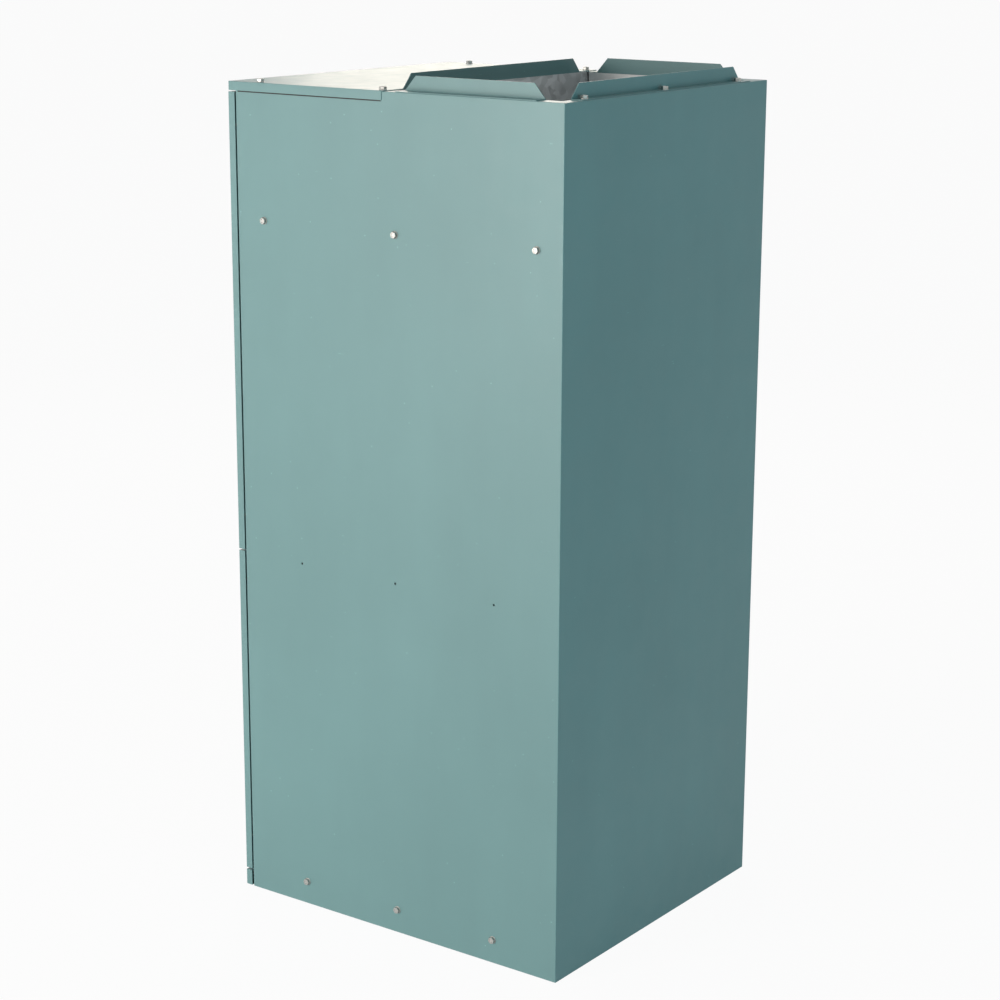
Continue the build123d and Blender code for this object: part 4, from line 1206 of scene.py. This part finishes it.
    def wheel(self) -> None:
        """The double-inlet wheel: cupped blades, rolled rings, centre disc and hub."""
        body = Body()
        root = self.wheel_r - self.blade_depth
        tip = self.wheel_r - 0.0016
        for blade in range(self.blades):
            base = 2 * math.pi * blade / self.blades
            faces: list[list[Pair]] = []
            for offset in (self.blade_half_t, -self.blade_half_t):
                run = []
                for step in range(7):
                    share = step / 6
                    radius = root + 0.0008 + share * (tip - root - 0.0008)
                    cup = 4 * share * (1 - share) * self.blade_cup - offset
                    turn = base + self.blade_lean * share - cup / radius
                    run.append((radius * math.cos(turn), radius * math.sin(turn)))
                faces.append(run)
            outline = faces[0] + list(reversed(faces[1]))
            body.prism(outline, self.across(0.0), -self.wheel_half + 0.001, self.wheel_half - 0.001)
        for side in (-1, 1):
            edge = self.wheel_half
            ring = [
                (root, edge - 0.003), (root, edge - 0.0004), (root + 0.0004, edge),
                (self.wheel_r - 0.0012, edge), (self.wheel_r, edge - 0.0012),
                (self.wheel_r, edge - 0.003), (self.wheel_r - 0.0008, edge - 0.0032),
                (self.wheel_r - 0.0012, edge - 0.0014), (root + 0.001, edge - 0.0014),
            ]
            frame = self.across(0.0) @ Matrix.Diagonal((1, 1, side, 1))
            body.lathe(ring, frame, 96, loop=True)
        rim = self.wheel_r - 0.001
        disc = [
            (self.bore_r, -0.0012), (0.030, -0.0012), (0.034, 0.0008), (0.088, 0.0008),
            (0.092, -0.0012), (rim, -0.0012), (rim, 0.0002), (0.0925, 0.0002),
            (0.0885, 0.0021), (0.0335, 0.0021), (0.0295, 0.0002), (self.bore_r, 0.0002),
        ]
        body.lathe(disc, self.across(0.0), 96, loop=True)
        hub = [
            (self.bore_r, -0.016), (0.0202, -0.016), (0.0208, -0.0154), (0.0208, 0.006),
            (0.0202, 0.0065), (self.bore_r, 0.0065),
        ]
        body.lathe(hub, self.across(0.0), 40, loop=True)
        self.shop.piece(
            "wheel_assembly", body, "galvanised_sheet", "blower_rotor", ("blower_wheel",)
        )
        shaft = Body()
        lo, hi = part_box("motor_shaft")
        profile = [
            (0.0003, lo.x), (0.0058, lo.x), (0.00635, lo.x + 0.0006),
            (0.00635, hi.x - 0.0006), (0.0058, hi.x), (0.0003, hi.x),
        ]
        shaft.lathe(profile, self.across(0.0), 32)
        self.shop.piece("wheel_shaft", shaft, "steel_shaft", "blower_rotor", ("motor_shaft",))

    def motor(self) -> None:
        """The motor shell with rolled seams and domed end bells, and its vent slots drawn as black
        patches of painted shade.
        """
        x0, x1 = self.motor_x
        r = self.motor_r
        body = Body()
        profile = [
            (0.0066, x0 + 0.004), (0.0066, x0 - 0.005), (0.0185, x0 - 0.005),
            (0.019, x0 - 0.0044), (0.019, x0 + 0.0002), (0.050, x0 + 0.0006),
            (0.0585, x0 + 0.0025), (0.0655, x0 + 0.0075),
            (0.0685, x0 + 0.013), (0.0685, x0 + 0.0155), (r, x0 + 0.0165), (r, x0 + 0.0205),
            (0.0688, x0 + 0.0215), (0.0688, x1 - 0.0215), (r, x1 - 0.0205), (r, x1 - 0.0165),
            (0.0685, x1 - 0.0155), (0.0685, x1 - 0.013), (0.0655, x1 - 0.0075),
            (0.0585, x1 - 0.0025), (0.050, x1 - 0.0006), (0.024, x1), (0.0066, x1),
        ]
        body.lathe(profile, self.across(0.0), 72)
        self.shop.piece("motor_shell", body, "motor_paint", "cabinet", ("motor_body",))
        # painted shade: each vent opening is a black patch standing a hair proud of the end bell
        slots = Body()
        for end, sign in ((x1, 1.0), (x0, -1.0)):
            for index in range(self.vents):
                turn = 2 * math.pi * (index + 0.5) / self.vents
                arm = Vector((math.cos(turn), math.sin(turn), 0.0))
                aside = Vector((-arm.y, arm.x, 0.0))
                frame = self.across(0.0)
                outline = []
                for step in range(16):
                    spin = 2 * math.pi * step / 16
                    stretch = self.vent_half_l if math.cos(spin) > 0 else -self.vent_half_l
                    outline.append(
                        arm * (self.vent_ring_r + stretch + self.vent_half_w * math.cos(spin))
                        + aside * self.vent_half_w * math.sin(spin)
                    )
                z0, z1 = sorted((end - sign * 0.0015, end + sign * 0.00025))
                slots.rings([[frame @ Vector((p.x, p.y, z)) for p in outline] for z in (z0, z1)])
        self.shop.piece("motor_vent_shade", slots, "black_rubber", "cabinet")

    def cable(self) -> None:
        """The motor cable, from the motor's end bell to its plug on the relay board."""
        x, y0, z0 = self.lead_x, self.axis_y, self.axis_z - self.lead_drop
        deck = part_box("blower_deck")[1].z
        cable_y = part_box("control_tray")[0].y - 0.036
        places = [
            (self.motor_x[1], y0, z0),
            (x, y0, z0),
            (x, y0 - 0.070, z0 + 0.070),
            (x, cable_y + 0.008, deck - 0.091),
            (x, cable_y, deck - 0.021),
            (x, cable_y, deck + 0.030),
            (0.1505, cable_y, deck + 0.0252),
            (0.111, cable_y, deck + 0.022),
            (0.0715, cable_y, deck + 0.0252),
            (0.0464, cable_y, deck + 0.030),
            (0.032, cable_y, deck + 0.030),
        ]
        data = bpy.data.curves.new("motor_lead", "CURVE")
        data.dimensions = "3D"
        data.bevel_depth = self.lead_r
        data.bevel_resolution = 4
        data.resolution_u = 10
        spline = data.splines.new("NURBS")
        spline.points.add(len(places) - 1)
        for point, place in zip(spline.points, places):
            point.co = (*place, 1.0)
        spline.order_u = 3
        spline.use_endpoint_u = True
        data.materials.append(self.shop.finishes["black_rubber"])
        lead = bpy.data.objects.new("motor_lead", data)
        bpy.context.scene.collection.objects.link(lead)
        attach(lead, "cabinet")
        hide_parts("motor_cable")
        length = curve_length(data)
        log.info("piece motor_lead, %.3f m long", length)

    def build(self) -> None:
        """Build the blower's pieces and dress the rest."""
        self.wrap()
        self.side_plate(1, "scroll_side_right")
        self.side_plate(-1, "scroll_side_left")
        self.wheel()
        self.motor()
        self.cable()
        self.shop.dress("galvanised_sheet", "motor_mount_band")
        self.shop.dress("black_rubber", "motor_grommets")


@dataclass
class CoilSection:
    """The two-slab cooling coil, its pan and its refrigerant lines."""

    shop: Workshop
    lean: float = math.radians(20.0)
    slab_t: float = 0.042
    slab_l: float = 0.420
    tube_pitch: float = 0.0254
    tube_count: int = 16
    tube_row: float = 0.0105
    tube_r: float = 0.0048
    line_x: float = 0.150
    line_in: float = 0.055
    stub_in: float = 0.0262
    suction_z: float = 0.260
    suction_r: float = 0.009525
    suction_bend: float = 0.01524
    suction_cup: Pair = (0.00962, 0.018)
    liquid_z: float = 0.165
    liquid_r: float = 0.0047625
    liquid_bend: float = 0.01143
    liquid_cup: Pair = (0.00485, 0.012)
    valve_x: float = 0.060
    valve_top: float = 0.165 - 0.0142875
    valve_h: float = 0.044
    drains: tuple[Pair, ...] = ((-0.110, 0.0596), (-0.162, 0.0676))

    @property
    def first_tube(self) -> float:
        """How far along a slab its lowest tube is."""
        return (self.slab_l - (self.tube_count - 1) * self.tube_pitch) / 2

    def slab_point(self, side: int, along: float, out: float, y: float) -> Vector:
        """A point of a slab.

        Args:
            side: 1 for the right slab and -1 for the left.
            along: How far it is from the slab's foot.
            out: How far it is out of the slab's middle plane.
            y: Its depth in the cabinet.

        Returns:
            The point in the part's own frame.
        """
        s, c = math.sin(self.lean), math.cos(self.lean)
        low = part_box("coil_slab_right")[0]
        foot_x = 0.006 + self.slab_t / 2 * c + self.slab_l * s
        foot_z = low.z + self.slab_t / 2 * s
        return Vector((side * (foot_x - along * s + out * c), y, foot_z + along * c + out * s))

    def bends(self) -> None:
        """Smooth return bends on the front tube sheets, each with its brazed cups."""
        bend_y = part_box("tube_sheets")[0].y
        body = Body()
        for side in (-1, 1):
            for index in range(1, self.tube_count - 2, 2):
                row = self.tube_row if index % 4 == 1 else -self.tube_row
                middle = self.first_tube + (index + 0.5) * self.tube_pitch
                half = self.tube_pitch / 2
                route = [self.slab_point(side, middle - half, row, bend_y)]
                for step in range(13):
                    turn = math.pi * (1 - step / 12)
                    route.append(
                        self.slab_point(
                            side,
                            middle + half * math.cos(turn),
                            row,
                            bend_y - 0.003 - half * 0.92 * math.sin(turn),
                        )
                    )
                route.append(self.slab_point(side, middle + half, row, bend_y))
                body.tube(route, self.tube_r * 0.94, 14)
                for end in (-half, half):
                    seat = self.slab_point(side, middle + end, row, bend_y)
                    cup = [
                        (0.002, 0.0), (self.tube_r * 1.12, 0.0), (self.tube_r * 1.12, 0.0022),
                        (self.tube_r * 0.96, 0.0034), (0.002, 0.0034),
                    ]
                    body.lathe(cup, matrix_at(seat, (0, -1, 0)), 18)
        self.shop.piece("hairpin_bends", body, "copper_tube", "cabinet", ("return_bends",))

    def line(
        self, name: str, node: str, routes: Sequence[tuple[Sequence[Point], float, float]],
        stub: Pair, radius: float, cup: Pair,
    ) -> None:
        """A refrigerant line of smooth tubes, with its swaged cup outside the panel.

        Args:
            name: The piece's name.
            node: The CAD node that it stands for.
            routes: Each tube's points, radius and bend.
            stub: The x and z of the line's end.
            radius: The tube's radius.
            cup: The cup's bore radius and depth.
        """
        body = Body()
        for points, tube_r, bend in routes:
            body.tube(rounded(points, bend), tube_r, 20)
        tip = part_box(node)[0].y
        wall, (bore, depth) = 0.0011, cup
        profile = [
            (radius - wall, 0.060), (radius - wall, depth + 0.0012), (bore, depth),
            (bore, 0.0006), (bore + 0.0004, 0.0), (bore + wall, 0.0), (bore + wall, depth),
            (radius, depth + 0.0028), (radius, 0.060),
        ]
        seat = matrix_at((stub[0], tip, stub[1]), (0, 1, 0))
        body.lathe(profile, seat, 40, loop=True)
        self.shop.piece(name, body, "copper_tube", "cabinet", (node,))

    def lines(self) -> None:
        """The suction header, the liquid line, and the feeders under the distributor."""
        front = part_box("upper_access_panel")[0].y
        line_y, stub_y = front + self.line_in, front + self.stub_in
        bend_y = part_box("tube_sheets")[0].y
        span = (self.tube_count - 1) * self.tube_pitch
        top = self.slab_point(1, self.first_tube + span, 0.0, bend_y)
        low = self.slab_point(1, self.first_tube, 0.0, bend_y)
        x, z = self.line_x, self.suction_z
        riser = [(0, line_y, top.z + 0.019), (0, line_y, z), (x, line_y, z), (x, stub_y, z)]
        suction: list[tuple[Sequence[Point], float, float]] = [
            (riser, self.suction_r, self.suction_bend)
        ]
        for side in (-1, 1):
            end = side * top.x
            arm = [(0, line_y, top.z), (end, line_y, top.z), (end, bend_y, top.z)]
            suction.append((arm, 0.0048, 0.012))
        self.line(
            "suction_manifold", "suction_header", suction, (x, z), self.suction_r, self.suction_cup
        )
        z, valve_x, valve_top = self.liquid_z, self.valve_x, self.valve_top
        run = [(x, stub_y, z), (x, line_y, z), (valve_x, line_y, z), (valve_x, line_y, valve_top)]
        liquid = [(run, self.liquid_r, self.liquid_bend)]
        self.line("liquid_tube", "liquid_line", liquid, (x, z), self.liquid_r, self.liquid_cup)
        feeders = Body()
        valve_z = valve_top - self.valve_h
        for side in (-1, 1):
            root = valve_x + side * 0.006
            route = [
                (root, line_y, valve_z), (root, line_y, valve_z - 0.0128),
                (side * low.x, line_y, low.z), (side * low.x, bend_y, low.z),
            ]
            feeders.tube(rounded(route, 0.0096), 0.0032, 14)
        self.shop.piece("feeder_pair", feeders, "copper_tube", "cabinet", ("feeder_tubes",))
        valve = Body()
        seat = matrix_at((valve_x, line_y, valve_top), (0, 0, -1))
        for radius, start, end in ((0.0096, 0.0, 0.013), (0.012, 0.013, 0.026)):
            rings = []
            ease = ((start, 0.9), (start + 0.001, 1.0), (end - 0.001, 1.0), (end, 0.9))
            for height, share in ease:
                corners = [Vector((u * share, v * share, height)) for u, v in hexagon(radius)]
                rings.append([seat @ corner for corner in corners])
            valve.rings(rings)
        cone = [
            (0.001, 0.0255), (0.0075, 0.0255), (0.0075, 0.030), (0.0118, 0.036), (0.012, 0.040),
            (0.0095, 0.0438), (0.001, self.valve_h),
        ]
        valve.lathe(cone, seat, 36)
        self.shop.piece("metering_valve", valve, "brass_valve", "cabinet", ("distributor",))

    def sockets(self) -> None:
        """Round collars over the pan's drain sockets."""
        body = Body()
        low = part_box("drain_pan")[0]
        for x, z in self.drains:
            profile = [
                (0.0159, 0.024), (0.0159, 0.0), (0.0162, 0.0), (0.0165, 0.0008),
                (0.0165, 0.0022), (0.0162, 0.003), (0.0162, 0.024),
            ]
            body.lathe(profile, matrix_at((x, low.y, z), (0, 1, 0)), 40, loop=True)
        self.shop.piece("drain_collars", body, "pan_plastic", "cabinet")

    def build(self) -> None:
        """Build the coil's fine pieces and dress the rest."""
        self.bends()
        self.lines()
        self.sockets()
        self.shop.dress("coil_fins", "coil_slab_left", "coil_slab_right")
        self.shop.dress("aluminium_parts", "tube_sheets", "coil_ridge_cap", "end_baffles")
        self.shop.dress("pan_plastic", "drain_pan")
        self.shop.dress("black_rubber", "line_grommets")


@dataclass
class Controls:
    """The control tray with its transformer, relay board and run capacitor."""

    shop: Workshop
    board_in: float = 0.008
    terminals: int = 6
    terminal_pitch: float = 0.015
    terminal_half: float = 0.006
    terminal_h: float = 0.014
    relays: int = 2
    relay_pitch: float = 0.034
    relay_l: float = 0.030
    relay_h: float = 0.020
    tabs: int = 3
    tab_pitch: float = 0.008

    def contacts(self) -> None:
        """Terminal screws and spade tabs on the board's parts."""
        body = Body()
        low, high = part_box("relay_board")
        head = [
            (0.0002, -0.0002), (0.0032, -0.0002), (0.0034, 0.0006), (0.0030, 0.0014),
            (0.0002, 0.0016),
        ]
        for index in range(self.terminals):
            x = low.x + self.board_in + self.terminal_pitch * index + self.terminal_half
            seat = (x, low.y - self.terminal_h, low.z + 2 * self.terminal_half)
            body.lathe(head, matrix_at(seat, (0, -1, 0)), 20)
        z = high.z - self.board_in - self.relay_l
        y = low.y - self.relay_h
        for relay in range(self.relays):
            for tab in range(self.tabs):
                x = low.x + self.board_in + relay * self.relay_pitch + tab * self.tab_pitch
                body.slab((x + 0.004, y - 0.007, z + 0.006), (x + 0.0102, y + 0.001, z + 0.0068))
        self.shop.piece("board_tabs", body, "zinc_screws", "cabinet", bevel=0.0002)

    def winding(self) -> None:
        """Turns of enamelled wire on the transformer's bobbin."""
        lo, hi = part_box("transformer")
        mid_x = (lo.x + hi.x) / 2
        mid_z = (lo.z + hi.z) / 2
        body = Body()
        for side in (-1, 1):
            for turn in range(4):
                z = mid_z + side * (0.0295 + turn * 0.0019)
                half_w, back, out = 0.0188, hi.y - 0.0004, hi.y - 0.0268
                ring = [
                    Vector((mid_x - half_w, back, z)), Vector((mid_x - half_w, out, z)),
                    Vector((mid_x + half_w, out, z)), Vector((mid_x + half_w, back, z)),
                ]
                body.tube(rounded(ring, 0.003, 4), 0.00095, 8)
        self.shop.piece("transformer_winding", body, "copper_tube", "cabinet")

    def build(self) -> None:
        """Build the small parts and dress the rest."""
        self.contacts()
        self.winding()
        self.shop.dress("galvanised_sheet", "control_tray", "transformer", "capacitor_strap")
        self.shop.dress("aluminium_parts", "run_capacitor")
        self.shop.dress("board_green", "relay_board")
        self.shop.dress("component_plastic", "board_components")


@dataclass
class FilterSection:
    """The pleated filter that slides in over the bottom opening."""

    shop: Workshop
    pleats: int = 20
    cloth_t: float = 0.0010
    straight: float = 0.75
    fold_steps: int = 6

    def fleece(self) -> None:
        """The pleated fleece with rounded folds."""
        lo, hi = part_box("filter_media")
        half = (hi.y - lo.y) / (2 * self.pleats)
        crest, foot = hi.z - self.cloth_t, lo.z + self.cloth_t * 0.2
        line: list[Pair] = []
        for index in range(2 * self.pleats):
            y0, y1 = lo.y + index * half, lo.y + (index + 1) * half
            z0, z1 = (foot, crest) if index % 2 == 0 else (crest, foot)
            for step in range(self.fold_steps):
                share = step / self.fold_steps
                eased = 0.5 - 0.5 * math.cos(math.pi * share)
                blend = self.straight * share + (1 - self.straight) * eased
                line.append((y0 + (y1 - y0) * share, z0 + (z1 - z0) * blend))
        line.append((hi.y, foot))
        body = Body()
        over = [(y, z + self.cloth_t * 0.8) for y, z in line]
        outline = line + list(reversed(over))
        body.rings([[Vector((x, y, z)) for y, z in outline] for x in (lo.x, hi.x)], caps=False)
        count = len(line)
        for end in (0, 1):
            base = end * 2 * count
            for k in range(count - 1):
                face = (base + k, base + k + 1, base + 2 * count - 2 - k, base + 2 * count - 1 - k)
                body.faces.append(face)
        sheet = self.shop.piece(
            "pleated_fleece", body, "filter_media_white", "filter", ("filter_media",), crease=60.0
        )

    def build(self) -> None:
        """Build the fleece and dress the frame."""
        self.fleece()
        self.shop.dress("filter_card", "filter_frame")


@dataclass(frozen=True)
class Lamp:
    """One soft rectangular lamp that faces a point."""

    name: str
    place: Place
    target: Place
    size: Pair
    watts: float
    colour: Colour

    def build(self) -> None:
        """Hang the lamp."""
        data = bpy.data.lights.new(self.name, "AREA")
        data.shape = "RECTANGLE"
        data.size, data.size_y = self.size
        data.energy = self.watts
        data.color = self.colour
        lamp = bpy.data.objects.new(self.name, data)
        bpy.context.scene.collection.objects.link(lamp)
        lamp.matrix_world = matrix_at(
            self.place, Vector(self.place) - Vector(self.target), (0.0, 0.0, 1.0)
        )


@dataclass
class Studio:
    """Pale floor, white surround and three soft lamps."""

    ambient: float = 0.22
    ambient_colour: Colour = (0.84, 0.96, 1.0)
    floor_half: float = 60.0
    floor_drop: float = 0.0004
    floor_colour: Colour = (0.86, 0.86, 0.86)
    floor_glow: float = 0.95
    lamps: tuple[Lamp, ...] = (
        Lamp("key_lamp", (4.3, -1.4, 1.1), (0.0, 0.0, 0.10), (2.4, 1.8), 188.0, (1.0, 0.90, 0.855)),
        Lamp("fill_lamp", (0.6, 4.0, 0.6), (0.0, 0.2, 0.1), (2.0, 1.2), 34.0, (0.26, 0.88, 1.0)),
        Lamp("rim_lamp", (-2.6, -2.0, 2.15), (0.0, 0.0, 1.15), (2.0, 1.0), 22.0, (1.0, 0.90, 0.78)),
    )

    def seen(self, recipe: Recipe) -> Signal:
        """Tell what is looked at from what gives light.

        Args:
            recipe: The material that asks.

        Returns:
            1 for what the camera, a mirror or glass sees, and 0 for light on things.
        """
        path = recipe.node("ShaderNodeLightPath")
        names = ("Is Camera Ray", "Is Glossy Ray", "Is Transmission Ray")
        first, second, third = (Signal(recipe, path.outputs[name]) for name in names)
        return recipe.clamped(first + second + third)

    def world(self) -> None:
        """White surround for the eye, and a level grey one for the light."""
        world = bpy.data.worlds.new("surround")
        bpy.context.scene.world = world
        world.use_nodes = True
        tree = world.node_tree
        tree.nodes.clear()
        path = tree.nodes.new("ShaderNodeLightPath")
        glow = tree.nodes.new("ShaderNodeBackground")
        glow.inputs["Color"].default_value = (*self.ambient_colour, 1.0)
        glow.inputs["Strength"].default_value = self.ambient
        white = tree.nodes.new("ShaderNodeBackground")
        white.inputs["Color"].default_value = (1.0, 1.0, 1.0, 1.0)
        white.inputs["Strength"].default_value = 1.0
        share: bpy.types.NodeSocket = path.outputs["Is Camera Ray"]
        for name in ("Is Glossy Ray", "Is Transmission Ray"):
            either = tree.nodes.new("ShaderNodeMath")
            either.operation = "MAXIMUM"
            tree.links.new(share, either.inputs[0])
            tree.links.new(path.outputs[name], either.inputs[1])
            share = either.outputs[0]
        mix = tree.nodes.new("ShaderNodeMixShader")
        tree.links.new(share, mix.inputs[0])
        tree.links.new(glow.outputs[0], mix.inputs[1])
        tree.links.new(white.outputs[0], mix.inputs[2])
        out = tree.nodes.new("ShaderNodeOutputWorld")
        tree.links.new(mix.outputs[0], out.inputs["Surface"])

    def floor(self) -> None:
        """A pale floor that the eye sees nearly white, with the object's shadow kept."""
        recipe = Recipe("studio_floor")
        grain = recipe.noise(40.0, 3.0, 0.6)
        diffuse = recipe.node(
            "ShaderNodeBsdfDiffuse",
            {},
            {"Color": recipe.mix(grain, tint(self.floor_colour, 0.99), self.floor_colour)},
        )
        glow = recipe.node(
            "ShaderNodeEmission", {}, {"Color": (1.0, 1.0, 1.0), "Strength": 1.0}
        )
        share = self.seen(recipe) * self.floor_glow
        mix = recipe.node(
            "ShaderNodeMixShader", {}, {0: share, 1: diffuse.outputs[0], 2: glow.outputs[0]}
        )
        recipe.node("ShaderNodeOutputMaterial", {}, {"Surface": mix.outputs[0]})
        h = self.floor_half
        mesh = bpy.data.meshes.new("studio_floor")
        mesh.from_pydata([(-h, -h, 0), (h, -h, 0), (h, h, 0), (-h, h, 0)], [], [(0, 1, 2, 3)])
        mesh.materials.append(recipe.material)
        floor = bpy.data.objects.new("studio_floor", mesh)
        floor.location.z = -self.floor_drop
        bpy.context.scene.collection.objects.link(floor)

    def build(self) -> None:
        """Set the stage."""
        self.world()
        self.floor()
        for lamp in self.lamps:
            lamp.build()
        bpy.context.scene.view_settings.view_transform = "Standard"


@dataclass(frozen=True)
class PhotoCamera:
    """The camera at the photograph's place, in degrees, metres and pixels of a 1000 px frame."""

    azimuth: float = 126.122
    elevation: float = 14.299
    roll: float = 0.246
    focal_px: float = 2366.4
    frame_px: float = 1000.0
    sensor_mm: float = 36.0
    clip: Pair = (0.05, 200.0)
    place: Place = (2.60558, 1.90395, 1.38980)

    def build(self) -> None:
        """Stand the camera and make it the scene's."""
        a, e, r = (math.radians(v) for v in (self.azimuth, self.elevation, self.roll))
        back = Vector((math.sin(a) * math.cos(e), -math.cos(a) * math.cos(e), math.sin(e)))
        right = Vector((math.cos(a), math.sin(a), 0.0))
        up = back.cross(right)
        x = right * math.cos(r) + up * math.sin(r)
        y = up * math.cos(r) - right * math.sin(r)
        data = bpy.data.cameras.new("photo_camera")
        data.sensor_width = self.sensor_mm
        data.lens = self.focal_px / self.frame_px * self.sensor_mm
        data.clip_start, data.clip_end = self.clip
        camera = bpy.data.objects.new("photo_camera", data)
        turned = Matrix((x, y, back)).transposed().to_4x4()
        turned.translation = Vector(self.place)
        camera.matrix_world = turned
        bpy.context.scene.collection.objects.link(camera)
        bpy.context.scene.camera = camera


def main() -> None:
    """Build and dress the whole part, then set the stage."""
    logging.basicConfig(level=logging.INFO, format="%(name)s %(message)s")
    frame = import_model()
    PhotoCamera().build()
    shop = Workshop(frame, Palette())
    for section in (
        Casing(shop),
        Fasteners(shop),
        AirSide(shop),
        CoilSection(shop),
        Controls(shop),
        FilterSection(shop),
        Studio(),
    ):
        section.build()


if __name__ == "__main__":
    main()
